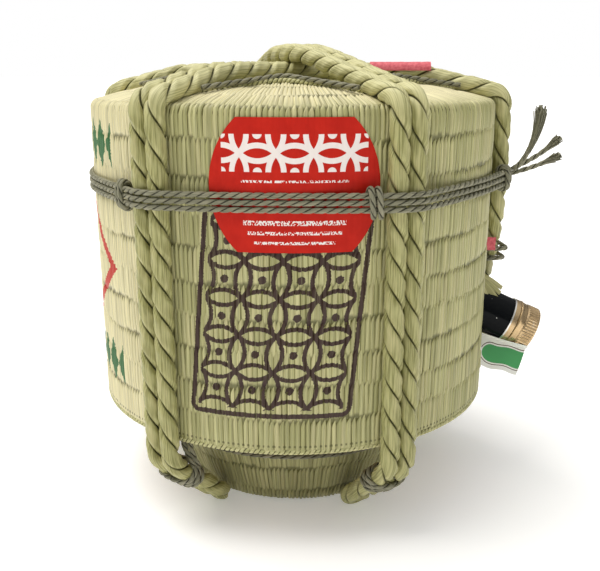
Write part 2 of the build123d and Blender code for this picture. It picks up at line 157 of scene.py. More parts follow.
class Value:
    """A node's socket that takes part in arithmetic."""

    def __init__(self, graph: Graph, socket: NodeSocket):
        """Holds an output socket and the graph that it is in."""
        self.graph = graph
        self.socket = socket

    def __add__(self, other: Operand) -> Value:
        """The sum."""
        return self.graph.math("ADD", self, other)

    def __sub__(self, other: Operand) -> Value:
        """This less the other."""
        return self.graph.math("SUBTRACT", self, other)

    def __rsub__(self, other: Operand) -> Value:
        """The other less this."""
        return self.graph.math("SUBTRACT", other, self)

    def __mul__(self, other: Operand) -> Value:
        """The product."""
        return self.graph.math("MULTIPLY", self, other)

    def __truediv__(self, other: Operand) -> Value:
        """This over the other."""
        return self.graph.math("DIVIDE", self, other)

    def __abs__(self) -> Value:
        """The size without its sign."""
        return self.graph.math("ABSOLUTE", self)

    def fract(self) -> Value:
        """Fraction left over whole numbers."""
        return self.graph.math("FRACT", self)

    def at_least(self, other: Operand) -> Value:
        """The larger of the two."""
        return self.graph.math("MAXIMUM", self, other)

    def at_most(self, other: Operand) -> Value:
        """The smaller of the two."""
        return self.graph.math("MINIMUM", self, other)

    def below(self, edge: Operand) -> Value:
        """1 where this is under the edge, else 0."""
        return self.graph.math("LESS_THAN", self, edge)


Operand = Value | float
Colour = tuple[float, float, float, float]
Spot = tuple[float, float]
Spot3 = tuple[float, float, float]
Face = tuple[int, ...]
Keep = Callable[[np.ndarray], np.ndarray]


def srgb(red: int, green: int, blue: int) -> Colour:
    """Linear colour of an sRGB colour.

    Args:
        red: level from 0 to 255, and so are green and blue.
        green: level.
        blue: level.
    Returns:
        The colour, opaque.
    """
    def linear(level: int) -> float:
        """Linear share of a level."""
        share = level / 255
        return share / 12.92 if share <= 0.04045 else ((share + 0.055) / 1.055) ** 2.4

    return linear(red), linear(green), linear(blue), 1.0


class Graph:
    """Builds nodes in a shader tree or a geometry tree."""

    def __init__(self, tree: NodeTree):
        """Holds the tree."""
        self.tree = tree

    def add(self, kind: str, **settings: object) -> Node:
        """Adds a node.

        Args:
            kind: Blender's name for the kind of node.
            settings: the node's own properties.
        Returns:
            The node.
        """
        node = self.tree.nodes.new(kind)
        for name, value in settings.items():
            setattr(node, name, value)
        return node

    def feed(self, socket: NodeSocket, value: object) -> None:
        """Links a value to an input, or sets a constant on it.

        Args:
            socket: the input.
            value: a Value to link, or a constant.
        """
        if isinstance(value, Value):
            self.tree.links.new(value.socket, socket)
        else:
            socket.default_value = value

    def run(self, kind: str, inputs: dict[int | str, object], output: int | str = 0,
            **settings: object) -> Value:
        """Adds a node and feeds it.

        Args:
            kind: Blender's name for the kind of node.
            inputs: values or constants by the place or the name of each input.
            output: place or name of the output that is read.
            settings: the node's own properties.
        Returns:
            That output.
        """
        node = self.add(kind, **settings)
        for key, value in inputs.items():
            self.feed(node.inputs[key], value)
        return Value(self, node.outputs[output])

    def math(self, operation: str, *operands: Operand) -> Value:
        """Result of a Math node on operands in order."""
        return self.run("ShaderNodeMath", dict(enumerate(operands)), operation=operation)

    def mix(self, factor: Operand, first: Value | Colour, second: Value | Colour,
            blend: str = "MIX") -> Value:
        """Two colours mixed: a factor of 0 gives the first and 1 the second."""
        inputs = {0: factor, 6: first, 7: second}
        return self.run("ShaderNodeMix", inputs, 2, data_type="RGBA", blend_type=blend)

    def smooth(self, value: Value, low: float, high: float, start: float = 0.0, end: float = 1.0) -> Value:
        """Smooth step from a start level to an end level, as a value goes from low to high."""
        inputs = {"Value": value, "From Min": low, "From Max": high, "To Min": start, "To Max": end}
        return self.run("ShaderNodeMapRange", inputs, "Result", interpolation_type="SMOOTHSTEP")

    def noise(self, vector: Value, scale: float, detail: float = 2.0) -> Value:
        """Soft noise from 0 to 1 at a vector."""
        return self.run("ShaderNodeTexNoise", {"Vector": vector, "Scale": scale, "Detail": detail}, "Fac")

    def vector(self, x: Operand, y: Operand, z: Operand) -> Value:
        """Vector of three numbers."""
        return self.run("ShaderNodeCombineXYZ", {0: x, 1: y, 2: z})

    def split(self, vector: Value) -> tuple[Value, Value, Value]:
        """Parts a vector.

        Args:
            vector: what is parted.
        Returns:
            Its three numbers.
        """
        node = self.add("ShaderNodeSeparateXYZ")
        self.feed(node.inputs[0], vector)
        return tuple(Value(self, socket) for socket in node.outputs)

    def attribute(self, name: str, output: str = "Vector") -> Value:
        """A mesh attribute, read by its name."""
        return self.run("ShaderNodeAttribute", {}, output, attribute_name=name)

    def position(self) -> Value:
        """Object coordinates, which are the row frame."""
        return self.run("ShaderNodeTexCoord", {}, "Object")

    def group(self, tree: NodeTree, **inputs: object) -> dict[str, Value]:
        """Places a node group.

        Args:
            tree: the group.
            inputs: by name in small letters, with underscores for spaces.
        Returns:
            Its outputs by name.
        """
        node = self.add("ShaderNodeGroup", node_tree=tree)
        for name, value in inputs.items():
            self.feed(node.inputs[name.replace("_", " ").title()], value)
        return {socket.name: Value(self, socket) for socket in node.outputs}


class GroupShelf:
    """Shader node groups that several materials share, each built once."""

    @staticmethod
    def _start(name: str, inputs: Sequence[str],
               outputs: Sequence[str]) -> tuple[Graph, dict[str, Value], Node]:
        """Starts a group whose sockets are all numbers.

        Args:
            name: of the group.
            inputs: names of its inputs.
            outputs: names of its outputs.
        Returns:
            Its graph, its inputs by name and its output node.
        """
        tree = bpy.data.node_groups.new(name, "ShaderNodeTree")
        for way, labels in (("INPUT", inputs), ("OUTPUT", outputs)):
            for label in labels:
                tree.interface.new_socket(label, in_out=way, socket_type="NodeSocketFloat")
        graph = Graph(tree)
        source = graph.add("NodeGroupInput")
        sink = graph.add("NodeGroupOutput")
        return graph, {s.name: Value(graph, s) for s in source.outputs if s.name}, sink

    @cache
    def cylinder(self) -> NodeTree:
        """Arc and height on the mat, in millimetres.

        Returns:
            The group; its arc is 0 on the printed face.
        """
        graph, _, sink = self._start("Cylinder", (), ("Arc", "Height"))
        x, y, z = graph.split(graph.position())
        turn = graph.math("ARCTAN2", x, y * -1.0)
        graph.feed(sink.inputs["Arc"], turn * (MAT_RADIUS / MM))
        graph.feed(sink.inputs["Height"], z / MM)
        return graph.tree

    @cache
    def fibre(self) -> NodeTree:
        """Fine lengthwise fibres and broad blotches.

        Returns:
            The group; across and along are in millimetres, and seed parts the strands.
        """
        inputs = ("Across", "Along", "Seed", "Fineness")
        graph, given, sink = self._start("Fibre", inputs, ("Fibre", "Blotch"))
        fine = graph.vector(given["Across"] * given["Fineness"], given["Along"] * 0.055, given["Seed"] * 37.0)
        broad = graph.vector(given["Across"] * 0.22, given["Along"] * 0.05, given["Seed"] * 11.0)
        graph.feed(sink.inputs["Fibre"], graph.noise(fine, 1.0, 3.0))
        graph.feed(sink.inputs["Blotch"], graph.noise(broad, 1.0, 2.0))
        return graph.tree

    @cache
    def lattice(self) -> NodeTree:
        """Old lattice of overlapping circles, with a dot in every eye.

        Returns:
            The group; X and Y count cells.
        """
        graph, given, sink = self._start("Lattice", ("X", "Y", "Line"), ("Mask",))
        x = abs(given["X"].fract() - 0.5)
        y = abs(given["Y"].fract() - 0.5)
        gap = None
        for x_sign, y_sign in ((-1.0, -1.0), (-1.0, 1.0), (1.0, -1.0)):
            dx = x * x_sign + 0.5
            dy = y * y_sign + 0.5
            off = abs(graph.math("SQRT", dx * dx + dy * dy) - math.sqrt(0.5))
            gap = off if gap is None else gap.at_most(off)
        eye_x, eye_y = 0.5 - x, 0.5 - y
        dot = graph.math("SQRT", eye_x * eye_x + eye_y * eye_y) - 0.05
        graph.feed(sink.inputs["Mask"], gap.at_most(dot).below(given["Line"]))
        return graph.tree


SHELF = GroupShelf()


@dataclass
class Surface:
    """What a finish gives to the Principled BSDF."""

    colour: Value | Colour
    roughness: Operand = 0.5
    height: Value | None = None
    bump: float = 0.3
    depth: float = 0.3 * MM
    metallic: float = 0.0
    specular: float = 0.5
    sheen: float = 0.0
    glow: float = 0.0


@dataclass(frozen=True)
class Finish:
    """A procedural material; each kind says how its surface is shaded."""

    name: str

    def shade(self, graph: Graph) -> Surface:
        """Adds the nodes of the surface to a graph."""
        raise NotImplementedError

    def material(self) -> Material:
        """Builds the material.

        Returns:
            The material, with the surface on its Principled BSDF.
        """
        made = bpy.data.materials.new(self.name)
        made.use_nodes = True
        tree = made.node_tree
        graph = Graph(tree)
        shader = next(n for n in tree.nodes if n.type == "BSDF_PRINCIPLED")
        surface = self.shade(graph)
        inputs = {"Base Color": surface.colour, "Roughness": surface.roughness, "Metallic": surface.metallic,
                  "Specular IOR Level": surface.specular, "Sheen Weight": surface.sheen,
                  "Emission Color": (1.0, 1.0, 1.0, 1.0), "Emission Strength": surface.glow}
        if surface.height is not None:
            bump = {"Strength": surface.bump, "Distance": surface.depth, "Height": surface.height}
            inputs["Normal"] = graph.run("ShaderNodeBump", bump, "Normal")
        for name, value in inputs.items():
            graph.feed(shader.inputs[name], value)
        LOG.info("material %s", self.name)
        return made


class Print(Enum):
    """What is printed on a mat."""

    NONE = 0
    PANELS = 1


@dataclass(frozen=True)
class RushFinish(Finish):
    """Woven rush: each float has its own tint and fine lines, with painted shade on its edges and where it
    dips under.
    """

    light: Colour = srgb(195, 192, 137)
    dull: Colour = srgb(170, 168, 113)
    dry: Colour = srgb(210, 201, 151)
    # painted shade along the edges of the floats, where they meet
    seam: Colour = srgb(122, 120, 70)
    # pale colour of the printed face, and painted highlight on the top of the fold
    pale_and_top_light: Colour = srgb(246, 236, 192)
    # painted shade where a float dips under; also the colour of the hem stitches
    deep: Colour = srgb(92, 90, 48)
    ink: Colour = srgb(46, 8, 6)
    red: Colour = srgb(196, 44, 34)
    green: Colour = srgb(36, 104, 52)
    printed: Print = Print.NONE

    def shade(self, graph: Graph) -> Surface:
        """Shades the floats; the printed face is paler, and the top of the fold gets a painted highlight.

        Args:
            graph: of the material.
        Returns:
            The surface.
        """
        tint = graph.attribute("tint", "Fac")
        across, along, _ = graph.split(graph.attribute("float_uv"))
        fibres = graph.group(SHELF.fibre(), across=across * 1.3, along=along * 9.0, seed=tint * 5.0,
                             fineness=2.9)
        colour = graph.mix(graph.smooth(tint, 0.1, 0.9), self.light, self.dull)
        colour = graph.mix(graph.smooth(fibres["Blotch"], 0.4, 0.75, 0.0, 0.6), colour, self.dry)
        # painted shade on the part of each float that dips under
        tucked = graph.smooth(along, 0.09, 0.20, 0.8, 0.0)
        if self.printed is Print.PANELS:
            spot = graph.group(SHELF.cylinder())
            # paler round the printed face
            paler = graph.smooth(abs(spot["Arc"]), 108.0, 122.0, 0.7, 0.0)
            # painted highlight on the top of the fold, where the light falls
            folded = graph.smooth(spot["Height"], 222.0, 229.0, 0.0, 0.75)
            colour = graph.mix(paler.at_least(folded), colour, self.pale_and_top_light)
            tucked = tucked * graph.smooth(spot["Height"], HEM / MM + 6.0, HEM / MM + 9.0)
        shade = graph.smooth(fibres["Fibre"], 0.34, 0.64, 0.70, 1.08)
        colour = graph.mix(1.0, colour, graph.vector(shade, shade, shade), "MULTIPLY")
        # painted shade along each float's edges
        colour = graph.mix(graph.smooth(abs(across), 0.74, 1.0, 0.0, 0.8), colour, self.seam)
        # painted shade where the float dips under
        colour = graph.mix(tucked, colour, self.deep)
        if self.printed is Print.PANELS:
            colour = self._printing(graph, colour, fibres["Fibre"], across)
        return Surface(colour, roughness=0.5, height=fibres["Fibre"], bump=0.3, specular=0.4, sheen=0.04)

    def _printing(self, graph: Graph, bare: Value, fibre: Value, across: Value) -> Value:
        """Adds hem stitches, a brown framed lattice, and a red and green emblem. Places are in millimetres.

        Args:
            graph: of the material.
            bare: colour of the rush.
            fibre: noise that wears the print.
            across: place across a float, from -1 to 1.
        Returns:
            The printed colour.
        """
        spot = graph.group(SHELF.cylinder())
        stitch_height, stitch_half = HEM / MM + 3.4, 0.6
        stitch = abs(spot["Height"] - stitch_height).below(stitch_half)
        stitch = stitch * graph.math("GREATER_THAN", abs(across), 0.5)
        colour = graph.mix(stitch * 0.75, bare, self.deep)
        wobble = (graph.noise(graph.vector(spot["Arc"], spot["Height"], 0.0), 1.1, 3.0) - 0.5) * 1.5
        height = spot["Height"] + wobble
        arc = spot["Arc"] + wobble
        middle, slant_height, slant = 182.4, 125.0, 0.104
        panel = arc - middle - (height - slant_height) * slant
        half, low, high, corner, line = 41.5, 73.5, 178.0, 4.5, 2.6
        beside = (abs(panel) - (half - corner)).at_least(0.0)
        under = (low + corner - height).at_least(0.0)
        edge = graph.math("SQRT", beside * beside + under * under) - corner
        frame = abs(edge + line / 2).below(line / 2)
        cell, margin = 18.6, 5.4
        lattice = graph.group(SHELF.lattice(), x=panel / cell + 0.5, y=(height - low - margin) / cell + 0.5,
                              line=0.06)
        filled = lattice["Mask"] * edge.below(-corner + 0.01) * abs(panel).below(2 * cell + 0.2)
        brown = frame.at_least(filled) * height.below(high)
        diamond_half, diamond_rise, diamond_middle = 76.0, 58.0, 138.0
        red = abs(abs(arc) / diamond_half + abs(height - diamond_middle) / diamond_rise - 1.0).below(0.06)
        band_middle, band_off, band_half, tooth = 143.5, 59.5, 82.0, 15.0
        band = abs(abs(height - band_middle) - band_off)
        teeth = abs((arc / tooth).fract() - 0.5) * (2 * tooth)
        green = (band + teeth * 0.9).below(13.0) * abs(arc).below(band_half)
        worn = graph.smooth(fibre, 0.25, 0.45, 0.62, 0.97)
        mark = graph.mix(brown, graph.mix(red, self.green, self.red), self.ink)
        return graph.mix(brown.at_least(red).at_least(green) * worn, colour, mark)


@dataclass(frozen=True)
class StrandFinish(Finish):
    """Twisted straw or cord: fibres follow each strand, with a painted highlight on top of the barrel."""

    light: Colour = srgb(182, 179, 121)
    dull: Colour = srgb(132, 130, 74)
    dry: Colour = srgb(198, 191, 138)
    # painted shade in the groove between strands
    deep: Colour = srgb(92, 90, 48)
    fineness: float = 1.6
    roughness: float = 0.5
    bump: float = 0.45
    # painted highlight on the strands on top of the barrel
    pale_and_top_light: Colour = srgb(226, 221, 168)
    top_highlight: float = 0.0

    def shade(self, graph: Graph) -> Surface:
        """Shades the strands by their own attribute, with painted shade in the groove between them.

        Args:
            graph: of the material.
        Returns:
            The surface.
        """
        across, along, seed = graph.split(graph.attribute("strand"))
        groove = graph.attribute("groove", "Fac")
        fibres = graph.group(SHELF.fibre(), across=across / MM, along=along / MM, seed=seed,
                             fineness=self.fineness)
        colour = graph.mix(graph.smooth(fibres["Fibre"], 0.36, 0.62), self.dull, self.light)
        colour = graph.mix(graph.smooth(fibres["Blotch"], 0.45, 0.75, 0.0, 0.6), colour, self.dry)
        height = graph.group(SHELF.cylinder())["Height"]
        # painted highlight on the strands on top of the barrel
        paler = graph.smooth(height, 214.0, 236.0, 0.0, self.top_highlight)
        paler = paler * graph.smooth(fibres["Fibre"], 0.34, 0.6, 0.45, 1.0)
        colour = graph.mix(paler, colour, self.pale_and_top_light)
        # painted shade in the groove between strands
        colour = graph.mix(graph.smooth(groove, 0.2, 0.9, 0.0, 0.8), colour, self.deep)
        return Surface(colour, self.roughness, fibres["Fibre"], self.bump, 0.35 * MM, specular=0.4,
                       sheen=0.05)


@dataclass(frozen=True)
class BackingFinish(Finish):
    """Ground of the mat that shows between its floats, coloured dark as painted shade in the gaps."""

    light: Colour = srgb(132, 129, 80)
    dark: Colour = srgb(58, 56, 28)

    def shade(self, graph: Graph) -> Surface:
        """Shades rough upright fibres.

        Args:
            graph: of the material.
        Returns:
            The surface.
        """
        spot = graph.group(SHELF.cylinder())
        fibres = graph.group(SHELF.fibre(), across=spot["Arc"], along=spot["Height"], seed=0.3, fineness=1.6)
        # dark tones stand for painted shade in the gaps between floats
        colour = graph.mix(fibres["Fibre"], self.dark, self.light)
        return Surface(colour, 0.8, fibres["Fibre"], 0.5, 0.4 * MM, specular=0.2)


@dataclass(frozen=True)
class WoodFinish(Finish):
    """Straight-grained wood along Z."""

    light: Colour = srgb(222, 182, 132)
    dark: Colour = srgb(164, 112, 70)
    grain: float = 0.35

    def shade(self, graph: Graph) -> Surface:
        """Shades growth rings and pores.

        Args:
            graph: of the material.
        Returns:
            The surface.
        """
        x, y, z = graph.split(graph.position())
        rings = graph.noise(graph.vector(x / MM, y / MM, z / MM * 0.02), self.grain, 4.0)
        bands = graph.math("SINE", rings * 40.0) * 0.5 + 0.5
        pores = graph.noise(graph.vector(x / MM, y / MM, z / MM * 0.03), 3.0, 2.0)
        colour = graph.mix(bands * 0.7, self.light, self.dark)
        colour = graph.mix(graph.smooth(pores, 0.55, 0.75, 0.0, 0.4), colour, self.dark)
        return Surface(colour, 0.6, pores, 0.2, 0.2 * MM, specular=0.3)


@dataclass(frozen=True)
class GlassFinish(Finish):
    """Near-black bottle glass with a few pale specks."""

    black: Colour = (0.006, 0.007, 0.008, 1)
    pale_speck: Colour = (0.7, 0.72, 0.72, 1)

    def shade(self, graph: Graph) -> Surface:
        """Shades smooth glass, rough at the specks.

        Args:
            graph: of the material.
        Returns:
            The surface.
        """
        near = graph.run("ShaderNodeTexVoronoi", {"Vector": graph.position(), "Scale": 420.0}, "Distance")
        rare = graph.smooth(graph.noise(graph.position(), 160.0, 1.0), 0.60, 0.64)
        speck = graph.smooth(near, 0.10, 0.16, 1.0, 0.0) * rare
        colour = graph.mix(speck, self.black, self.pale_speck)
        return Surface(colour, graph.smooth(speck, 0.0, 1.0, 0.06, 0.7), specular=0.08)


@dataclass(frozen=True)
class BronzeFinish(Finish):
    """Satin bronze lacquer on a rolled metal cap, with fine turning marks and a pale edge."""

    dark: Colour = srgb(176, 144, 102)
    light: Colour = srgb(230, 204, 160)
    scuffed: Colour = srgb(236, 222, 200)
    bare: Colour = srgb(240, 238, 232)
    edge_reach: float = 16.3
    edge_half: float = 0.55

    def shade(self, graph: Graph) -> Surface:
        """Shades turned metal about the neck's axis.

        Args:
            graph: of the material.
        Returns:
            The surface.
        """
        x, y, z = graph.split(graph.position())
        along = y * NECK_AXIS.y + z * NECK_AXIS.z
        marks = graph.noise(graph.vector(along / MM * 6.0, x / MM * 0.2, 0.0), 1.0, 2.0)
        scuffs = graph.noise(graph.position(), 260.0, 3.0)
        colour = graph.mix(marks, self.dark, self.light)
        colour = graph.mix(graph.smooth(scuffs, 0.62, 0.75, 0.0, 0.6), colour, self.scuffed)
        reach = (along - NECK.dot(NECK_AXIS)) / MM
        colour = graph.mix(abs(reach - self.edge_reach).below(self.edge_half), colour, self.bare)
        roughness = graph.smooth(scuffs, 0.3, 0.8, 0.24, 0.42)
        return Surface(colour, roughness, marks, 0.12, 0.1 * MM, metallic=0.9)


@dataclass(frozen=True)
class PlainFinish(Finish):
    """Paper, plastic or packing with soft mottling."""

    light: Colour = (0.8, 0.8, 0.8, 1)
    dark: Colour = (0.7, 0.7, 0.7, 1)
    scale: float = 300.0
    roughness: float = 0.6

    def shade(self, graph: Graph) -> Surface:
        """Shades two mottled tones.

        Args:
            graph: of the material.
        Returns:
            The surface.
        """
        mottle = graph.noise(graph.position(), self.scale, 4.0)
        colour = graph.mix(graph.smooth(mottle, 0.3, 0.7), self.dark, self.light)
        return Surface(colour, self.roughness, mottle, 0.2, 0.2 * MM, specular=0.3)


@dataclass(frozen=True)
class FloorFinish(Finish):
    """White light table, so that shadows on it stay pale."""

    light: Colour = (0.95, 0.95, 0.95, 1)
    dark: Colour = (0.94, 0.94, 0.94, 1)

    def shade(self, graph: Graph) -> Surface:
        """Shades a dull white top that glows a little."""
        mottle = graph.noise(graph.position(), 4.0, 2.0)
        return Surface(graph.mix(mottle, self.light, self.dark), 1.0, specular=0.0, glow=0.25)


@dataclass(frozen=True)
class LabelFinish(Finish):
    """Red paper with a white border of circles and rows of dashes; sheet_uv is in millimetres."""

    red: Colour = srgb(202, 36, 20)
    deep: Colour = srgb(190, 30, 16)
    white: Colour = srgb(246, 236, 230)
    band: float = 15.0
    cell: float = 17.0
    dashes: tuple[Spot3, ...] = (
        (2.2, 25.0, 0.55), (-17.0, 24.0, 1.1), (-21.8, 22.0, 0.8), (-26.4, 19.0, 0.7))

    def shade(self, graph: Graph) -> Surface:
        """Shades the paper; each row of dashes has a height, a half length and a half width.

        Args:
            graph: of the material.
        Returns:
            The surface.
        """
        x, y, _ = graph.split(graph.attribute("sheet_uv"))
        mottle = graph.noise(graph.vector(x, y, 0.0), 0.12, 2.0)
        colour = graph.mix(graph.smooth(mottle, 0.3, 0.75), self.deep, self.red)
        lattice = graph.group(SHELF.lattice(), x=x / self.cell, y=(y - self.band) / self.cell + 0.5,
                              line=0.075)
        white = lattice["Mask"] * abs(y - self.band).below(self.cell / 2) * abs(x).below(2 * self.cell)
        for line, reach, width in self.dashes:
            dash = graph.noise(graph.vector(x, y * 0.6, line), 1.6, 0.0)
            white = white.at_least(abs(y - line).below(width) * abs(x).below(reach) * dash.below(0.52))
        colour = graph.mix(white, colour, self.white)
        return Surface(colour, 0.5, mottle, 0.05, 0.2 * MM, specular=0.15)


@dataclass(frozen=True)
class SealFinish(Finish):
    """White seal paper with a green panel in a thin brown line; sheet_uv is in millimetres."""

    white: Colour = srgb(254, 254, 248)
    green: Colour = srgb(84, 172, 106)
    brown: Colour = srgb(92, 62, 44)
    panel_end: float = 15.0
    panel_middle: float = 9.8
    panel_half: float = 5.2
    line_half: float = 6.3

    def shade(self, graph: Graph) -> Surface:
        """Shades a panel with a round end.

        Args:
            graph: of the material.
        Returns:
            The surface.
        """
        x, y, _ = graph.split(graph.attribute("sheet_uv"))
        end = (self.panel_end - x).at_least(0.0)
        off = y - self.panel_middle
        away = graph.math("SQRT", end * end + off * off)
        mottle = graph.noise(graph.vector(x, y, 0.0), 0.8, 3.0)
        line = abs(away - self.line_half).below(0.24)
        colour = graph.mix(away.below(self.panel_half), graph.mix(line, self.white, self.brown), self.green)
        return Surface(colour, 0.5, mottle, 0.1, 0.2 * MM, specular=0.35)


@dataclass
class Form:
    """A mesh in the making: points, faces and attributes on the points."""

    points: np.ndarray
    faces: list[Face]
    attributes: dict[str, np.ndarray] = field(default_factory=dict)

    @staticmethod
    def join(forms: Sequence[Form]) -> Form:
        """Joins forms that have the same attributes.

        Args:
            forms: in the order in which their points are stored.
        Returns:
            One form.
        """
        start = 0
        faces: list[Face] = []
        for form in forms:
            faces += [tuple(i + start for i in face) for face in form.faces]
            start += len(form.points)
        names = forms[0].attributes
        joined = {name: np.concatenate([form.attributes[name] for form in forms]) for name in names}
        return Form(np.vstack([form.points for form in forms]), faces, joined)

    def mesh(self, name: str) -> Mesh:
        """Makes a smooth-shaded mesh.

        Args:
            name: of the mesh.
        Returns:
            The mesh.
        """
        made = bpy.data.meshes.new(name)
        made.from_pydata(self.points.tolist(), [], self.faces)
        for label, values in self.attributes.items():
            kind, key = ("FLOAT", "value") if values.ndim == 1 else ("FLOAT_VECTOR", "vector")
            layer = made.attributes.new(label, kind, "POINT")
            layer.data.foreach_set(key, values.astype(np.float32).ravel())
        made.shade_smooth()
        made.update()
        return made


def grid_faces(rows: int, columns: int, wrap: bool = False) -> list[Face]:
    """Quads of a grid of points that are stored row by row.

    Args:
        rows: of points.
        columns: of points.
        wrap: joins the last column to the first.
    Returns:
        The quads.
    """
    faces = []
    for row in range(rows - 1):
        here, above = row * columns, (row + 1) * columns
        for column in range(columns if wrap else columns - 1):
            beside = (column + 1) % columns
            faces.append((here + column, here + beside, above + beside, above + column))
    return faces


def add_piece(mesh: Mesh, material: Material | None, body: str = CASK,
              replaces: Sequence[str] = ()) -> Object:
    """Puts a mesh in the scene as a piece of the object.

    Args:
        mesh: points are in the row frame.
        material: replaces the mesh's materials where given.
        body: the CAD body that it rides on.
        replaces: CAD nodes that it stands for.
    Returns:
        The new object.
    """
    piece = bpy.data.objects.new(mesh.name, mesh)
    bpy.context.scene.collection.objects.link(piece)
    if material is not None:
        mesh.materials.clear()
        mesh.materials.append(material)
    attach(piece, body)
    if replaces:
        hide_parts(*replaces)
    LOG.info("piece %s: %d points", mesh.name, len(mesh.vertices))
    return piece


def nurbs_route(points: Sequence[Vector], closed: bool = False) -> np.ndarray:
    """Reads points off a smooth NURBS line.

    Args:
        points: its control points.
        closed: joins its end to its start.
    Returns:
        Points along the line.
    """
    curve = bpy.data.curves.new("route", "CURVE")
    curve.dimensions = "3D"
    curve.resolution_u = 16
    spline = curve.splines.new("NURBS")
    spline.points.add(len(points) - 1)
    for knot, point in zip(spline.points, points):
        knot.co = (*point, 1)
    spline.use_cyclic_u = closed
    spline.order_u = 3
    spline.use_endpoint_u = not closed
    holder = bpy.data.objects.new("route", curve)
    bpy.context.scene.collection.objects.link(holder)
    mesh = bpy.data.meshes.new_from_object(holder)
    line = np.array([v.co for v in mesh.vertices], float)
    bpy.data.objects.remove(holder)
    bpy.data.curves.remove(curve)
    bpy.data.meshes.remove(mesh)
    return line


@dataclass(frozen=True)
class Lay:
    """A twisted rope or cord: plies wound about a route.

    Attributes:
        radius: of the whole rope.
        pitch: length of one turn.
        ring: points round a ply.
        ribs: straws that show round a ply.
        step: distance between sections.
        hand: 1 or -1.
        plies: strands that are laid together.
        rib_depth: of the straws, as a share of the radius.
        waver: how far a ply swells and thins, as a share of the radius.
        breadth: of a ply, as a share of the radius.
        flatness: of a ply's inner face; it is flat at 0 and round at 1.
    """

    radius: float
    pitch: float
    ring: int
    ribs: int
    step: float
    hand: int = -1
    plies: int = 2
    rib_depth: float = 0.02
    waver: float = 0.05
    breadth: float = 0.82
    flatness: float = 0.28

    def form(self, route: np.ndarray, closed: bool = False, seed: int = 1) -> Form:
        """Lays the plies along a route.

        Args:
            route: points along the rope's middle.
            closed: joins its end to its start.
            seed: of the plies' swelling.
        Returns:
            The rope, with each point's place on its strand and how deep it is in the groove.
        """
        random = np.random.default_rng(seed)
        line, along, total = self._even(route, closed)
        across, down = self.frames(line, closed)
        turns = total / self.pitch
        if closed:
            turns = max(1, round(turns))
        ring = np.linspace(0, 2 * math.pi, self.ring, endpoint=False)
        face = np.cos(ring)
        face = np.where(face < 0, -np.abs(face) ** self.flatness, face)
        swells = np.maximum(1, np.round(total / (self.pitch * np.array([0.9, 0.37, 0.61]))))
        faces = self._faces(len(line), closed)
        forms = []
        for ply in range(self.plies):
            angle = self.hand * 2 * math.pi * turns * along / total + 2 * math.pi * ply / self.plies
            radial = np.cos(angle)[:, None] * across + np.sin(angle)[:, None] * down
            tangent = -np.sin(angle)[:, None] * across + np.cos(angle)[:, None] * down
            phase = random.uniform(0, 2 * math.pi, 3)
            swell = sum(np.sin(2 * math.pi * c * along / total + p) for c, p in zip(swells, phase)) / 3
            size = self.radius * (1 + self.waver * swell)
            ribbed = 1 + self.rib_depth * np.cos(self.ribs * ring + phase[0])
            out = size[:, None] * (0.5 + 0.5 * face * ribbed)
            wide = size[:, None] * self.breadth * np.sin(ring) * ribbed
            points = line[:, None] + out[..., None] * radial[:, None] + wide[..., None] * tangent[:, None]
            # how far each point faces into the groove between plies, where the strand finish paints shade
            groove = np.broadcast_to(np.clip(-np.cos(ring) * 1.5, 0, 1), out.shape)
            around = (angle[:, None] + np.arctan2(wide, out)) * self.radius
            strand = np.stack(np.broadcast_arrays(around, along[:, None], ply + seed * 0.37), -1)
            attributes = {"strand": strand.reshape(-1, 3), "groove": groove.ravel()}
            forms.append(Form(points.reshape(-1, 3), faces, attributes))
        return Form.join(forms)

    def _faces(self, rows: int, closed: bool) -> list[Face]:
        """Faces of one ply.

        Args:
            rows: rings of points along it.
            closed: joins the last ring to the first; else both ends are capped.
        Returns:
            The faces.
        """
        faces = grid_faces(rows, self.ring, True)
        last = (rows - 1) * self.ring
        if closed:
            for column in range(self.ring):
                beside = (column + 1) % self.ring
                faces.append((last + column, last + beside, beside, column))
        else:
            faces.append(tuple(range(self.ring))[::-1])
            faces.append(tuple(range(last, last + self.ring)))
        return faces

    def _even(self, route: np.ndarray, closed: bool) -> tuple[np.ndarray, np.ndarray, float]:
        """Parts a route into even steps.

        Args:
            route: points along it.
            closed: joins its end to its start.
        Returns:
            Points at even steps, the distance of each along the route, and its length.
        """
        line = np.vstack([route, route[:1]]) if closed else route
        lengths = np.concatenate([[0], np.cumsum(np.linalg.norm(np.diff(line, axis=0), axis=1))])
        count = max(6, round(lengths[-1] / self.step))
        along = np.linspace(0, lengths[-1], count, endpoint=not closed)
        return np.column_stack([np.interp(along, lengths, line[:, i]) for i in range(3)]), along, lengths[-1]

    @staticmethod
    def frames(line: np.ndarray, closed: bool) -> tuple[np.ndarray, np.ndarray]:
        """Directions across a line, which turn as little as they can.

        Args:
            line: its points.
            closed: its end joins its start.
        Returns:
            Two unit vectors for every point.
        """
        if closed:
            tangents = np.roll(line, -1, 0) - np.roll(line, 1, 0)
        else:
            tangents = np.gradient(line, axis=0)
        tangents /= np.linalg.norm(tangents, axis=1)[:, None]
        start = np.cross(tangents[0], (0, 0, 1.0))
        if np.linalg.norm(start) < 0.2:
            start = np.cross(tangents[0], (1.0, 0, 0))
        across = [start / np.linalg.norm(start)]
        for tangent in tangents[1:]:
            step = across[-1] - tangent * np.dot(across[-1], tangent)
            across.append(step / np.linalg.norm(step))
        found = np.array(across)
        if closed:
            end = found[-1] - tangents[0] * np.dot(found[-1], tangents[0])
            twist = math.atan2(np.dot(np.cross(end, found[0]), tangents[0]), np.dot(end, found[0]))
            share = twist * np.arange(len(line)) / len(line)
            other = np.cross(tangents, found)
            found = np.cos(share)[:, None] * found + np.sin(share)[:, None] * other
        return found, np.cross(tangents, found)


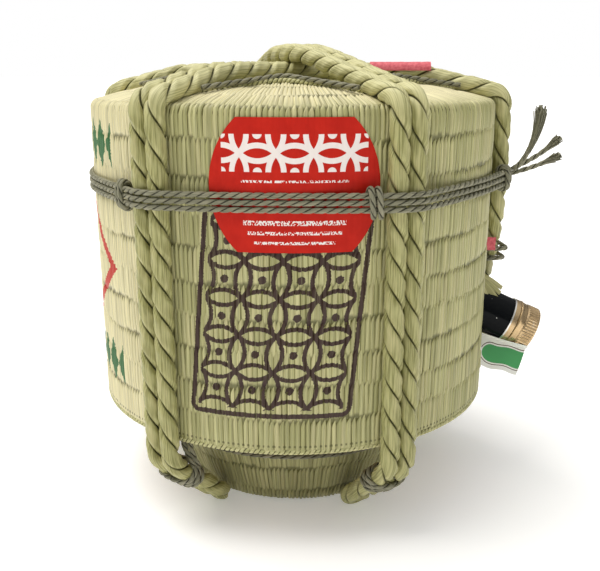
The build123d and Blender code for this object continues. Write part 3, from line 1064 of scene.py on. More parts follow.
ROPE = Lay(PLUMP * ROPE_RADIUS, 32.5 * MM, ring=22, ribs=9, step=1.5 * MM)
CORD = Lay(CORD_RADIUS, 11 * MM, ring=11, ribs=4, step=0.55 * MM, waver=0.03, breadth=0.74, flatness=0.6)
HEM_CORD = Lay(1.7 * MM, 5 * MM, ring=8, ribs=4, step=0.6 * MM)


class Weave:
    """Geometry Nodes tree that lays pointed floats of rush in rows and wraps them on a profile."""

    INPUTS = {
        "Object": ("Float", "Profile"), "Material": ("Material",), "Int": ("Columns", "Rows", "Seed"),
        "Float": ("Row Height", "Start", "Span", "Radius", "First Row", "Relief", "Overlap"),
    }

    def __init__(self) -> None:
        """Builds the tree and the float that it repeats."""
        self.tree = bpy.data.node_groups.new("Rush Weave", "GeometryNodeTree")
        self.graph = Graph(self.tree)
        self.unit = self._unit_float()
        face = self.tree.interface
        face.new_socket("Geometry", in_out="INPUT", socket_type="NodeSocketGeometry")
        self.keys: dict[str, str] = {}
        for kind, names in self.INPUTS.items():
            for name in names:
                socket = face.new_socket(name, in_out="INPUT", socket_type="NodeSocket" + kind)
                self.keys[name] = socket.identifier
        face.new_socket("Geometry", in_out="OUTPUT", socket_type="NodeSocketGeometry")
        self._build()

    @staticmethod
    def _unit_float() -> Object:
        """Makes one float, 1 wide, 1 long and 1 high: tucked in below and slanted to a point above.

        Returns:
            The float, which is in no scene yet.
        """
        stations = np.array([0.0, 0.12, 0.22, 0.36, 0.60, 0.80, 0.86, 0.92, 0.97, 1.0])
        widths = np.array([0.90, 0.98, 1.0, 1.0, 1.0, 1.0, 0.88, 0.60, 0.32, 0.06])
        shifts = np.array([0.0, 0.0, 0.0, 0.0, 0.0, 0.0, 0.03, 0.10, 0.19, 0.28])
        lifts = np.array([-0.30, 0.05, 0.55, 0.88, 1.0, 1.0, 0.96, 0.88, 0.76, 0.62])
        sides = np.array([-1.0, -0.6, 0.0, 0.6, 1.0])
        bulges = np.array([-0.25, 0.72, 1.0, 0.72, -0.25])
        points = []
        for station, width, shift, lift in zip(stations, widths, shifts, lifts):
            for side, bulge in zip(sides, bulges):
                points.append((0.5 * width * side + shift, station - 0.5, lift * bulge if lift > 0 else lift))
        uv = np.array([(u, v, 0) for v in stations for u in sides], float)
        form = Form(np.array(points), grid_faces(len(stations), len(sides)), {"float_uv": uv})
        return bpy.data.objects.new("rush_float", form.mesh("rush_float"))

    def _shape(self, thing: Value) -> Value:
        """Geometry of an object."""
        return self.graph.run("GeometryNodeObjectInfo", {"Object": thing}, "Geometry")

    def _random(self, low: float, high: float, seed: Value) -> Value:
        """Random number for each float, from low to high."""
        inputs = {2: low, 3: high, "Seed": seed}
        return self.graph.run("FunctionNodeRandomValue", inputs, 1, data_type="FLOAT")

    def _build(self) -> None:
        """Links the tree: points in rows, a float on each, then the wrap."""
        graph = self.graph
        given = {s.name: Value(graph, s) for s in graph.add("NodeGroupInput").outputs if s.name}
        columns, row_height, seed = given["Columns"], given["Row Height"], given["Seed"]
        index = graph.run("GeometryNodeInputIndex", {})
        row = graph.math("FLOOR", index / columns)
        column = index - row * columns
        pitch = given["Span"] / columns
        stagger = graph.math("MODULO", row, 2.0) * 0.5
        spot = column + stagger + self._random(0.18, 0.32, seed + 1)
        wave = graph.math("SINE", graph.math("MULTIPLY_ADD", spot, 0.11, row * 2.1)) * 0.07
        level = row + wave + self._random(0.45, 0.55, seed + 2)
        x = graph.math("MULTIPLY_ADD", spot, pitch, given["Start"])
        y = graph.math("MULTIPLY_ADD", level, row_height, given["First Row"])
        rows = {"Count": columns * given["Rows"], "Position": graph.vector(x, y, 0.0)}
        points = graph.run("GeometryNodePoints", rows)
        width = pitch * self._random(0.92, 1.2, seed + 3)
        length = row_height * given["Overlap"] * self._random(0.95, 1.05, seed + 4)
        rise = given["Relief"] * self._random(0.75, 1.1, seed + 5)
        lean = self._random(-0.026, 0.026, seed + 6)
        floats = graph.run("GeometryNodeInstanceOnPoints", {
            "Points": points, "Instance": self._shape(given["Float"]),
            "Scale": graph.vector(width, length, rise), "Rotation": graph.vector(0.0, 0.0, lean)})
        tint = {"Geometry": floats, "Name": "tint", "Value": self._random(0.0, 1.0, seed + 7)}
        tinted = graph.run("GeometryNodeStoreNamedAttribute", tint, data_type="FLOAT", domain="INSTANCE")
        real = graph.run("GeometryNodeRealizeInstances", {"Geometry": tinted})
        wrapped = graph.run("GeometryNodeSetPosition", {"Geometry": real, "Position": self._wrap(given)})
        painted = graph.run("GeometryNodeSetMaterial", {"Geometry": wrapped, "Material": given["Material"]})
        graph.feed(graph.add("NodeGroupOutput").inputs[0], painted)

    def _wrap(self, given: dict[str, Value]) -> Value:
        """Wraps the flat floats: x goes round the barrel, y goes up the profile, and z stands off it.

        Args:
            given: the tree's inputs by name.
        Returns:
            Where each point goes.
        """
        graph = self.graph
        along, up, off = graph.split(graph.run("GeometryNodeInputPosition", {}))
        sample = graph.add("GeometryNodeSampleCurve", mode="LENGTH")
        graph.feed(sample.inputs["Curves"], self._shape(given["Profile"]))
        graph.feed(sample.inputs["Length"], up)
        spot_x, _, spot_z = graph.split(Value(graph, sample.outputs["Position"]))
        slope_x, _, slope_z = graph.split(Value(graph, sample.outputs["Tangent"]))
        radius = graph.math("MULTIPLY_ADD", slope_z, off, spot_x)
        turn = along / given["Radius"]
        x = radius * graph.math("SINE", turn)
        y = radius * graph.math("COSINE", turn) * -1.0
        return graph.vector(x, y, spot_z - slope_x * off)

    def mesh(self, name: str, profile: Sequence[Spot], keep: Keep,
             **values: object) -> Mesh:
        """Runs the tree and gives its result as a plain mesh.

        Args:
            name: of the mesh.
            profile: radius and height of the line that the rows climb.
            keep: tells which points stay.
            values: the tree's inputs, with underscores for spaces.
        Returns:
            The woven mesh.
        """
        curve = bpy.data.curves.new("profile", "CURVE")
        curve.dimensions = "3D"
        spline = curve.splines.new("POLY")
        spline.points.add(len(profile) - 1)
        for knot, (radius, height) in zip(spline.points, profile):
            knot.co = (radius, 0, height, 1)
        rail = bpy.data.objects.new("profile", curve)
        host = bpy.data.objects.new("weave", bpy.data.meshes.new("weave"))
        scene = bpy.context.scene.collection.objects
        for thing in (rail, host, self.unit):
            scene.link(thing)
        modifier = host.modifiers.new("Weave", "NODES")
        modifier.node_group = self.tree
        modifier[self.keys["Float"]] = self.unit
        modifier[self.keys["Profile"]] = rail
        for label, value in values.items():
            modifier[self.keys[label.replace("_", " ").title()]] = value
        ready = bpy.context.evaluated_depsgraph_get()
        made = bpy.data.meshes.new_from_object(host.evaluated_get(ready), depsgraph=ready)
        made.name = name
        for thing in (rail, host):
            bpy.data.objects.remove(thing)
        scene.unlink(self.unit)
        trim(made, keep)
        made.shade_smooth()
        return made


def trim(mesh: Mesh, keep: Keep) -> None:
    """Cuts the neck's hole clean and deletes the points of a mesh that aren't kept.

    Args:
        mesh: what is cut.
        keep: tells which points stay.
    """
    points = np.empty(len(mesh.vertices) * 3)
    mesh.vertices.foreach_get("co", points)
    points = drawn_to_hole(points.reshape(-1, 3))
    mesh.vertices.foreach_set("co", points.ravel())
    stays = keep(points)
    work = bmesh.new()
    work.from_mesh(mesh)
    work.verts.ensure_lookup_table()
    bmesh.ops.delete(work, geom=[v for v, s in zip(work.verts, stays) if not s], context="VERTS")
    work.to_mesh(mesh)
    work.free()
    mesh.update()


def mat_profile(depth: float) -> list[Spot]:
    """Line up the wall, round the rim and in over the crown.

    Args:
        depth: in the mat, from its face.
    Returns:
        Radius and height of points along the line.
    """
    line = [(MAT_RADIUS - depth, HEM - HEM_LEAD), (MAT_RADIUS - depth, SHOULDER)]
    reach = RIM_ROUND - depth
    for step in range(1, 10):
        turn = math.radians(10 * step)
        line.append((RIM_AXIS + reach * math.cos(turn), SHOULDER + reach * math.sin(turn)))
    for radius in np.linspace(RIM_AXIS - 2 * MM, 40 * MM, 30):
        line.append((radius, crown_z(radius, depth)))
    return line


def fold_edge(turn: np.ndarray) -> np.ndarray:
    """Radius of the folded edge, which runs straight from each rope to the middle of a side.

    Args:
        turn: azimuths.
    Returns:
        The radius at each of them.
    """
    inner, outer = 66 * MM, 99 * MM
    found = np.full(turn.shape, inner)
    for here, there in zip(PAIRS, NEXT_PAIRS):
        half = math.radians((there - here) / 2)
        off = np.radians(np.abs((turn - here) % 360 - (there - here) / 2))
        rise = outer * math.sin(half)
        run = outer * math.cos(half) - inner
        inside = off <= half + 1e-9
        found[inside] = (inner * rise / (np.cos(off) * rise - np.sin(off) * run))[inside]
    return found


def clear_of_neck(points: np.ndarray, radius: float) -> np.ndarray:
    """Finds the points outside the neck's hole.

    Args:
        points: in the row frame.
        radius: of the hole.
    Returns:
        True for each point outside it.
    """
    off = points - np.array(NECK)
    along = off @ np.array(NECK_AXIS)
    away = np.linalg.norm(off - along[:, None] * np.array(NECK_AXIS), axis=1)
    return (away > radius) | (points[:, 1] < 0)


def drawn_to_hole(points: np.ndarray) -> np.ndarray:
    """Draws points just inside the neck's hole out to its edge, along the mat.

    Args:
        points: in the row frame.
    Returns:
        The points, moved where they were just inside.
    """
    margin, past_edge = 5.5 * MM, 1.02
    axis = np.array(NECK_AXIS)
    size = np.hypot(points[:, 0], points[:, 1])
    moved = points.copy()
    for _ in range(3):
        off = moved - np.array(NECK)
        spoke = off - (off @ axis)[:, None] * axis
        away = np.maximum(np.linalg.norm(spoke, axis=1), MM)
        near = (away > NECK_HOLE - margin) & (away < NECK_HOLE) & (points[:, 1] > 0)
        moved[near] += (spoke * (past_edge * NECK_HOLE / away - 1)[:, None])[near]
        moved[near, :2] *= (size[near] / np.hypot(moved[near, 0], moved[near, 1]))[:, None]
    return moved


def kept_mat(points: np.ndarray) -> np.ndarray:
    """Finds the points of the mat: above the hem, off the hole and the seam, and not past the fold.

    Args:
        points: in the row frame.
    Returns:
        True for each point that stays.
    """
    seam_half, hem_slack = 1 * MM, 0.3 * MM
    radius = np.hypot(points[:, 0], points[:, 1])
    off_seam = (np.abs(points[:, 0]) > seam_half) | (points[:, 1] < 0)
    above = points[:, 2] > HEM - hem_slack
    return clear_of_neck(points, NECK_HOLE) & off_seam & above & (radius > fold_edge(azimuths(points)))


def lathe(profile: Sequence[Spot], steps: int) -> Form:
    """Surface of revolution about Z.

    Args:
        profile: radius and height of points along a line.
        steps: points round the axis.
    Returns:
        The surface.
    """
    turns = np.linspace(0, 2 * math.pi, steps, endpoint=False)
    line = np.array(profile)
    points = np.stack([line[:, :1] * np.sin(turns), -line[:, :1] * np.cos(turns),
                       np.broadcast_to(line[:, 1:], (len(line), steps))], -1)
    return Form(points.reshape(-1, 3), grid_faces(len(line), steps, True))


def neck_lathe(profile: Sequence[Spot], steps: int, ripple: Callable[[float], float],
               count: int) -> Form:
    """Surface of revolution about the neck's axis, with ridges along it.

    Args:
        profile: radius and reach of points along a line.
        steps: points round the axis.
        ripple: depth of the grooves between the ridges at a reach.
        count: of the ridges.
    Returns:
        The surface.
    """
    points = []
    for radius, reach in profile:
        for turn in np.linspace(0, 2 * math.pi, steps, endpoint=False):
            size = radius - ripple(reach) * (0.5 - 0.5 * math.cos(count * turn))
            points.append(on_neck(size * math.cos(turn), size * math.sin(turn), reach))
    return Form(np.array(points), grid_faces(len(profile), steps, True))


@dataclass
class Materials:
    """Every material of the barrel."""

    rush: Material
    plain_rush: Material
    # darker copy of the rush, as painted shade at the foot
    shaded_foot_rush: Material
    backing: Material
    rope: Material
    hem: Material
    cord: Material
    foot_cord: Material
    cedar: Material
    bamboo: Material
    straw: Material
    glass: Material
    bronze: Material
    liner: Material
    seal: Material
    label: Material
    pink: Material

    @classmethod
    def build(cls) -> Materials:
        """Makes the materials from their finishes.

        Returns:
            All of them.
        """
        # deep: painted shade in the cords' grooves
        grey = dict(light=srgb(144, 142, 117), dull=srgb(106, 104, 82), dry=srgb(162, 157, 131),
                    deep=srgb(46, 45, 32), fineness=4.0, roughness=0.6, bump=0.5)
        finishes = dict(
            rush=RushFinish("rush_printed", printed=Print.PANELS),
            plain_rush=RushFinish("rush_plain", light=srgb(188, 184, 128), dull=srgb(164, 161, 104)),
            # darker copy of the plain rush, as painted shade at the foot
            shaded_foot_rush=RushFinish("rush_foot", srgb(170, 167, 114), srgb(146, 143, 92), srgb(184, 176, 128)),
            backing=BackingFinish("rush_ground"),
            rope=StrandFinish("straw_rope", top_highlight=0.75),
            hem=StrandFinish("hem_straw", srgb(200, 197, 142), srgb(170, 168, 114), srgb(210, 202, 154)),
            cord=StrandFinish("grey_cord", **grey),
            foot_cord=StrandFinish("dark_cord", **{**grey, "light": srgb(116, 113, 92)}),
            cedar=WoodFinish("cedar"),
            bamboo=WoodFinish("bamboo", light=srgb(206, 190, 120), dark=srgb(160, 142, 80), grain=0.8),
            straw=PlainFinish("loose_straw", srgb(214, 196, 130), srgb(150, 132, 76), 900.0, 0.7),
            glass=GlassFinish("dark_glass"),
            bronze=BronzeFinish("bronze"),
            liner=PlainFinish("liner", srgb(240, 238, 230), srgb(226, 224, 216), 200.0, 0.5),
            seal=SealFinish("seal_paper"),
            label=LabelFinish("red_label"),
            pink=PlainFinish("pink_paper", srgb(232, 120, 128), srgb(206, 84, 96), 500.0, 0.6),
        )
        return cls(**{name: finish.material() for name, finish in finishes.items()})


@dataclass
class Mats:
    """The woven coverings: wall, fold, round top and foot.

    Attributes:
        materials: of the barrel.
        weave: lays the floats.
        columns: floats round the wall.
        wall_rows: rows of floats up the wall.
        fold_rows: rows over the rim and in on the fold.
        row_height: distance between rows.
        overlap: length of a float, in rows.
        relief: height of a float.
        ground_gap: how far the ground lies under the floats.
        hem_inset: of the hem's braid from the mat's face.
        hem_rise: of the braid from the hem.
        top_depth: of the round mat under the fold's face.
        top_reach: radius of the round mat.
        top_pitch: distance between its floats.
        top_length: distance between its rows.
        foot_columns: floats round the foot.
        foot_radius: mean radius of the foot.
        foot_bend: radius of its lower edge.
        foot_top: where its floats end.
        foot_lining: radius and height along its inside.
        ends: cut rush ends in the seam.
    """

    materials: Materials
    weave: Weave
    columns: int = 276
    wall_rows: int = 10
    fold_rows: int = 3
    row_height: float = 16.98 * MM
    overlap: float = 1.24
    relief: float = 0.8 * MM
    ground_gap: float = 0.2 * MM
    hem_inset: float = 1.65 * MM
    hem_rise: float = 0.4 * MM
    top_depth: float = 4.8 * MM
    top_reach: float = 95 * MM
    top_pitch: float = 2.7 * MM
    top_length: float = 17 * MM
    foot_columns: int = 192
    foot_radius: float = 80 * MM
    foot_bend: float = 8 * MM
    foot_top: float = 58 * MM
    foot_lining: tuple[Spot, ...] = (
        (84 * MM, 58.5 * MM), (66 * MM, 9 * MM), (62 * MM, 3.9 * MM), (0.5 * MM, 3.9 * MM))
    ends: int = 6

    def build(self) -> None:
        """Makes all mats."""
        self._wall()
        self._ground()
        self._hems()
        self._top()
        self._foot()
        self._ends()

    def _floats(self, radius: float, columns: int) -> dict[str, object]:
        """Inputs of the weave that the wall, the fold and the foot share.

        Args:
            radius: that the floats are spread on.
            columns: floats round it.
        Returns:
            The inputs by name.
        """
        span = 2 * math.pi * radius
        return dict(columns=columns, row_height=self.row_height, start=-span / 2, span=span, radius=radius,
                    relief=self.relief, overlap=self.overlap)

    def _wall(self) -> None:
        """Floats up the wall, and over the rim on to the fold."""
        profile = mat_profile(self.relief)
        floats = self._floats(MAT_RADIUS, self.columns)
        fold_start = HEM_LEAD + self.wall_rows * self.row_height
        wall = self.weave.mesh("mat_wall_weave", profile, kept_mat, rows=self.wall_rows, first_row=HEM_LEAD,
                               seed=11, material=self.materials.rush, **floats)
        fold = self.weave.mesh("mat_fold_weave", profile, kept_mat, rows=self.fold_rows, first_row=fold_start,
                               seed=12, material=self.materials.rush, **floats)
        add_piece(wall, None, replaces=["side_mat"])
        add_piece(fold, None)

    def _ground(self) -> None:
        """Closed shell under the floats, with rings up the wall that the hole is cut along."""
        depth = self.relief + self.ground_gap
        heights = [HEM + step * 8 * MM for step in range(20)]
        face = [(MAT_RADIUS - depth, height) for height in heights]
        lining = [(MAT_RADIUS - MAT_WALL, height) for height in heights]
        outer, inner = mat_profile(depth)[1:], mat_profile(MAT_WALL)[1:]
        ground = lathe(lining[:0:-1] + lining[:1] + face + outer + inner[::-1], 360).mesh("mat_ground")
        trim(ground, kept_mat)
        add_piece(ground, self.materials.backing)

    def _hems(self) -> None:
        """Pale braids along the hem and the folded edge."""
        ring = [place(turn, MAT_RADIUS - self.hem_inset, 0, HEM + self.hem_rise) for turn in range(0, 360, 6)]
        turns = np.arange(0, 360, 3.0)
        radii = fold_edge(turns) + 0.5 * MM
        border = [place(turn, radius, 0, crown_z(radius) + 0.1 * MM) for turn, radius in zip(turns, radii)]
        routes = [nurbs_route(line, True) for line in (ring, border)]
        braids = [HEM_CORD.form(route, True, seed) for seed, route in enumerate(routes, 5)]
        add_piece(Form.join(braids).mesh("mat_hems"), self.materials.hem)

    def _top(self) -> None:
        """Round mat under the fold: straight rows of floats laid over the dome."""
        unit = self.weave.unit.data
        base = np.array([v.co for v in unit.vertices])
        uv = np.empty(len(base) * 3)
        unit.attributes["float_uv"].data.foreach_get("vector", uv)
        quads = [tuple(p.vertices) for p in unit.polygons]
        random = np.random.default_rng(21)
        dome = CROWN_RADIUS - self.top_depth - 0.7 * MM
        forms = []
        for row in range(-6, 7):
            for column in range(-36, 37):
                x = (column + 0.5 * (row % 2)) * self.top_pitch
                y = row * self.top_length
                if math.hypot(x, y) > self.top_reach - 10 * MM:
                    continue
                size = (self.top_pitch * random.uniform(0.98, 1.14), self.top_length * 1.14, 0.8 * MM)
                points = base * size + (x, y, 0)
                away = np.minimum(np.hypot(points[:, 0], points[:, 1]), self.top_reach)
                points[:, 2] += CROWN_CENTRE + np.sqrt(dome**2 - away**2)
                tint = np.full(len(points), random.uniform())
                forms.append(Form(points, quads, {"float_uv": uv.reshape(-1, 3), "tint": tint}))
        weave = Form.join(forms).mesh("top_mat_weave")
        add_piece(weave, self.materials.plain_rush, replaces=["top_mat"])
        radii = np.linspace(0.5 * MM, self.top_reach, 24)
        upper = [(radius, crown_z(radius, self.top_depth + 0.9 * MM)) for radius in radii]
        lower = [(radius, crown_z(radius, self.top_depth + 2.9 * MM)) for radius in radii[::-1]]
        add_piece(lathe(upper + lower, 120).mesh("top_mat_ground"), self.materials.backing)

    def _foot_line(self, depth: float) -> list[Spot]:
        """Line out under the foot and up its side.

        Args:
            depth: in the mat, from its face.
        Returns:
            Radius and height of points along the line.
        """
        reach = self.foot_bend - depth
        bend = [(61 * MM + reach * math.sin(turn), self.foot_bend - reach * math.cos(turn))
                for turn in np.radians(range(0, 85, 12))]
        side = [(69 * MM - depth, self.foot_bend), (88 * MM - depth, 58.5 * MM), (92 * MM - depth, 69 * MM)]
        return [(52 * MM, depth), *bend, *side]

    def _foot(self) -> None:
        """Woven cup that the barrel stands on."""
        profile = self._foot_line(self.relief)
        floats = self._floats(self.foot_radius, self.foot_columns)
        # the foot's rush is a darker copy, painted shade under the hem
        cup = self.weave.mesh("foot_mat_weave", profile, lambda points: points[:, 2] < self.foot_top, rows=4,
                              first_row=4 * MM, seed=31, material=self.materials.shaded_foot_rush, **floats)
        add_piece(cup, None, replaces=["foot_mat"])
        outer = [(0.5 * MM, 0.2 * MM), *self._foot_line(self.relief + self.ground_gap)[:-1]]
        ground = lathe(outer + list(self.foot_lining), 200).mesh("foot_mat_ground")
        add_piece(ground, self.materials.backing)

    def _ends(self) -> None:
        """Cut rush ends that fan out of the seam above the neck."""
        random = np.random.default_rng(41)
        up = Vector((0, 0, 1))
        out = outward(178)
        crease = outward(90) * 0.5 * MM
        rows = 5
        forms = []
        for share in np.arange(self.ends) / (self.ends - 1):
            root = place(177.8 - 1.6 * share, MAT_RADIUS - 1 * MM, 0, (121 - 6 * share) * MM)
            lean = math.radians(-30 - 38 * share + random.uniform(-5, 5))
            run = out * math.cos(lean) + up * math.sin(lean)
            side = up * math.cos(lean) - out * math.sin(lean)
            length = random.uniform(11, 14) * MM
            points = []
            for step in np.linspace(0, 1, rows):
                middle = root + run * length * step - up * 2 * MM * step * step
                width = 1.5 * MM * (1 - 0.15 * step)
                points += [middle - side * width, middle + crease, middle + side * width]
            uv = np.array([(u, v, 0) for v in np.linspace(0.3, 0.7, rows) for u in (-0.9, 0, 0.9)])
            tint = np.full(len(points), random.uniform())
            forms.append(Form(np.array(points), grid_faces(rows, 3), {"float_uv": uv, "tint": tint}))
        add_piece(Form.join(forms).mesh("rush_ends"), self.materials.plain_rush)


@dataclass
class Lashing:
    """Straw ropes and thin cords round the barrel. Places in tuples are in degrees and millimetres.

    Attributes:
        materials: of the barrel.
        over_rim: radius and height of a rope up the side and over the rim.
        low_crest: radius and height where the lower loop crosses the top.
        high_crest: the same for the upper loop.
        cut_crest: the same for the ropes that are cut beside the crossing.
        swing: azimuth, radius and height of the back rope's way round the neck.
        tied_ends: radius, side and height of a binding's two ends, tucked up under the hem.
        foot_ring: radius and height of the foot's cord.
        lacing_side: how far from a rope pair the lacing starts.
        lacing_outer: radius where it starts.
        lacing_inner: radius where it is drawn in.
        staple: radius and side of half a staple over the back rope, from its foot.
        staple_heights: of the staples.
        tails: side, lean, strand and length of each free end.
        frays: share of the way where each free end unlays, and how far it spreads.
    """

    materials: Materials
    over_rim: tuple[Spot, ...] = (
        (119.65, 140), (119.65, 211.8), (119.65, 227.8), (103.7, 230.9), (86, 235.0), (70, 238.7))
    low_crest: tuple[Spot, ...] = ((48, 239.5), (24, 239.5))
    high_crest: tuple[Spot, ...] = ((52, 242.6), (34, 246.8), (17, 249.3))
    cut_crest: tuple[Spot, ...] = ((48, 239.0), (27, 238.5))
    swing: tuple[Spot3, ...] = (
        (FOOT_SWING, 121.7, 92), (FOOT_SWING, 122.4, 112.5), (188, 120.4, 135.5), (BACK, 119.65, 158.5))
    tied_ends: tuple[tuple[Spot3, ...], ...] = (
        ((107.0, 10.4, 36.8), (108.0, 3.5, 45.0), (108.0, 2.5, 56.5)),
        ((104.5, 10.8, 36.0), (106.5, 7.0, 45.0), (107.0, 6.0, 56.5)))
    foot_ring: Spot = (81.4, 36)
    lacing_side: float = 11.85 * MM
    lacing_outer: float = 94 * MM
    lacing_inner: float = 64 * MM
    staple: tuple[Spot, ...] = ((114.6, 13.3), (123, 13.3), (128.9, 11.3), (128.9, 6))
    staple_heights: tuple[float, ...] = (128.5, 135.5)
    tails: tuple[tuple[float, float, int, float], ...] = (
        (-4.5, 95.0, 1, 42.0), (0.5, 46.0, 1, 33.0), (4.5, 28.0, 0, 31.0))
    frays: tuple[Spot, ...] = ((0.12, 4.4), (0.6, 3.0), (0.6, 3.0))

    def build(self) -> None:
        """Makes all ropes and cords."""
        self._ropes()
        self._waist()
        self._windings()
        self._foot_cord()
        self._lacing()
        self._staples()
        self._tails()

    def _add_cord(self, form: Form, node: str) -> Object:
        """Adds a cord that stands for a CAD node of its name."""
        return add_piece(form.mesh(node + "_plies"), self.materials.cord, replaces=[node])

    @staticmethod
    def _foot(azimuth: float, side: float) -> list[Vector]:
        """Way of a leg from its bight under the hem to the side of the mat.

        Args:
            azimuth: of the rope pair.
            side: of the leg in its pair.
        Returns:
            Control points.
        """
        start, knee = (place(azimuth, radius, side, height) for radius, height in (BIGHT, KNEE))
        above_hem = place(azimuth, SIDE, side, 59 * MM)
        return [start, start.lerp(knee, 0.35), start.lerp(knee, 0.71), knee, above_hem]

    def _top(self, azimuth: float, side: float, crest: Sequence[Spot]) -> list[Vector]:
        """Way of a leg up the side, over the rim and in to the crossing, as control points."""
        line = (*self.over_rim, *crest)
        return [place(azimuth, radius * MM, side, height * MM) for radius, height in line]

    def _cut_leg(self, back: bool, side: float) -> list[Vector]:
        """Way of a leg of a rope that is cut beside the crossing.

        Args:
            back: the rope swings round the neck to its foot.
            side: of the leg in its pair.
        Returns:
            Control points.
        """
        azimuth = BACK if back else FRONT
        foot = FOOT_SWING if back else azimuth
        top = self._top(azimuth, side, self.cut_crest)
        if back:
            top[:1] = [place(turn, radius * MM, side, height * MM) for turn, radius, height in self.swing]
        return [place(foot, BIGHT[0], 0, BIGHT[1]), *self._foot(foot, side), *top]

    def _ropes(self) -> None:
        """Two endless loops that cross on the top, and two ropes that are cut beside the crossing."""
        loops = {"rope_left": (PAIRS[0], PAIRS[3], self.low_crest),
                 "rope_right": (PAIRS[1], PAIRS[4], self.high_crest)}
        forms = {}
        for seed, (name, (near_side, far_side, crest)) in enumerate(loops.items(), 3):
            loop: list[Vector] = []
            for sign in (1, -1):
                near = self._foot(near_side, sign * LEG) + self._top(near_side, sign * LEG, crest)
                far = self._foot(far_side, -sign * LEG) + self._top(far_side, -sign * LEG, crest)
                run = near + far[::-1]
                loop += run if sign == 1 else run[::-1]
            forms[name] = ROPE.form(nurbs_route(loop, True), True, seed)
        for name, back in (("rope_back", True), ("rope_front", False)):
            routes = [nurbs_route(self._cut_leg(back, sign * LEG)) for sign in (1, -1)]
            forms[name] = Form.join([ROPE.form(route, False, seed) for seed, route in enumerate(routes, 8)])
        for name, form in forms.items():
            add_piece(form.mesh(name + "_strands"), self.materials.rope, replaces=[name])

    def _waist(self) -> None:
        """Three taut strands round the mat and over the rope pairs."""
        crest, ease, least_slack = SIDE + CORD_WRAP, 0.25 * MM, 8
        turn = self._tangent_turn()
        corner = (WAIST_RADIUS - crest * math.cos(math.radians(turn))) / math.sin(math.radians(turn))
        for index, name in enumerate(("waist_cord_lower", "waist_cord_middle", "waist_cord_upper")):
            height = WAIST + (index - 1) * CORD_PITCH
            points = []
            for here, there in zip(PAIRS, NEXT_PAIRS):
                points += [place(here, crest, side, height) for side in (-corner / 2, corner / 2, corner)]
                middle = (here + there) / 2
                slack = (there - here) / 2 - turn
                turns = (middle,) if slack < least_slack else (middle - slack, middle, middle + slack)
                points += [place(t, WAIST_RADIUS + ease, 0, height) for t in turns]
                points.append(place(there, crest, -corner, height))
            self._add_cord(CORD.form(nurbs_route(points, True), True, 60 + index), name)

    @staticmethod
    def _tangent_turn() -> float:
        """Angle from a rope pair to where the waist cord comes down on the mat."""
        lean = math.degrees(math.atan2(LEG, SIDE))
        return lean + math.degrees(math.acos((WAIST_RADIUS - CORD_WRAP) / math.hypot(SIDE, LEG)))

    @staticmethod
    def _winding(origin: Vector, x_dir: Vector, z_dir: Vector, half_gap: float, wrap: float, turns: int,
                 pitch: float) -> list[Vector]:
        """Way of a cord that is wound round two rods.

        Args:
            origin: middle of the winding.
            x_dir: from one rod to the other.
            z_dir: along the rods.
            half_gap: from the middle to a rod's axis.
            wrap: from a rod's axis to the cord's.
            turns: how often it goes round.
            pitch: climb of a turn.
        Returns:
            Control points.
        """
        z_dir = z_dir.normalized()
        y_dir = z_dir.cross(x_dir)
        corners = ((1, -1), (1, 1), (-1, 1), (-1, -1))
        rise = -pitch * turns / 2
        points = [origin - y_dir * wrap + z_dir * rise]
        for index in range(4 * turns):
            x, y = corners[index % 4]
            climb = rise + pitch * (index + 0.5) / 4
            points.append(origin + x_dir * x * (half_gap + wrap) + y_dir * y * wrap + z_dir * climb)
        points.append(origin - y_dir * wrap - z_dir * rise)
        return points

    def _windings(self) -> None:
        """Bindings under the hem, and hitches on the waist strands at their CAD places."""
        pitch, hitch_wrap = 3.5 * MM, 3.1 * MM
        for index, azimuth in enumerate(PAIRS):
            foot = FOOT_SWING if azimuth == BACK else azimuth
            bight = place(foot, BIGHT[0], 0, BIGHT[1])
            along = place(foot, KNEE[0], 0, KNEE[1]) - bight
            points = self._winding(bight + along * 0.7, sideways(foot), along, LEG, CORD_WRAP, 3, pitch)
            forms = [CORD.form(nurbs_route(points), False, 70 + index)]
            for end in self.tied_ends:
                points = [place(foot, radius * MM, side * MM, height * MM) for radius, side, height in end]
                forms.append(CORD.form(nurbs_route(points), False, 76 + index))
            self._add_cord(Form.join(forms), f"rope_binding_{index + 1}")
            hitch = f"waist_hitch_{index + 1}"
            low, high = (Vector(corner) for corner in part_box(hitch))
            run = sideways(azimuth - self._tangent_turn())
            points = self._winding((low + high) / 2, Vector((0, 0, 1)), run, CORD_PITCH, hitch_wrap, 2, pitch)
            self._add_cord(CORD.form(nurbs_route(points), False, 80 + index), hitch)

    def _foot_cord(self) -> None:
        """Cord round the foot mat."""
        radius, height = self.foot_ring
        ring = [place(turn, radius * MM, 0, height * MM) for turn in range(0, 360, 12)]
        form = CORD.form(nurbs_route(ring, True), True, 90)
        add_piece(form.mesh("foot_cord_plies"), self.materials.foot_cord,
                  replaces=["foot_cord"])

    def _lacing(self) -> None:
        """Cord on the fold between the ropes."""
        lift = 2.5 * MM
        outer, inner = self.lacing_outer, self.lacing_inner
        forms = []
        for here, there in zip(PAIRS, NEXT_PAIRS):
            start = place(here, outer, self.lacing_side, crown_z(outer) + lift)
            middle = place((here + there) / 2, inner, 0, crown_z(inner) + lift)
            end = place(there, outer, -self.lacing_side, crown_z(outer) + lift)
            points = [start, start.lerp(middle, 0.45), start.lerp(middle, 0.75), middle,
                      middle.lerp(end, 0.25), middle.lerp(end, 0.55), end]
            forms.append(CORD.form(nurbs_route(points), False, 91 + len(forms)))
        self._add_cord(Form.join(forms), "top_lacing")

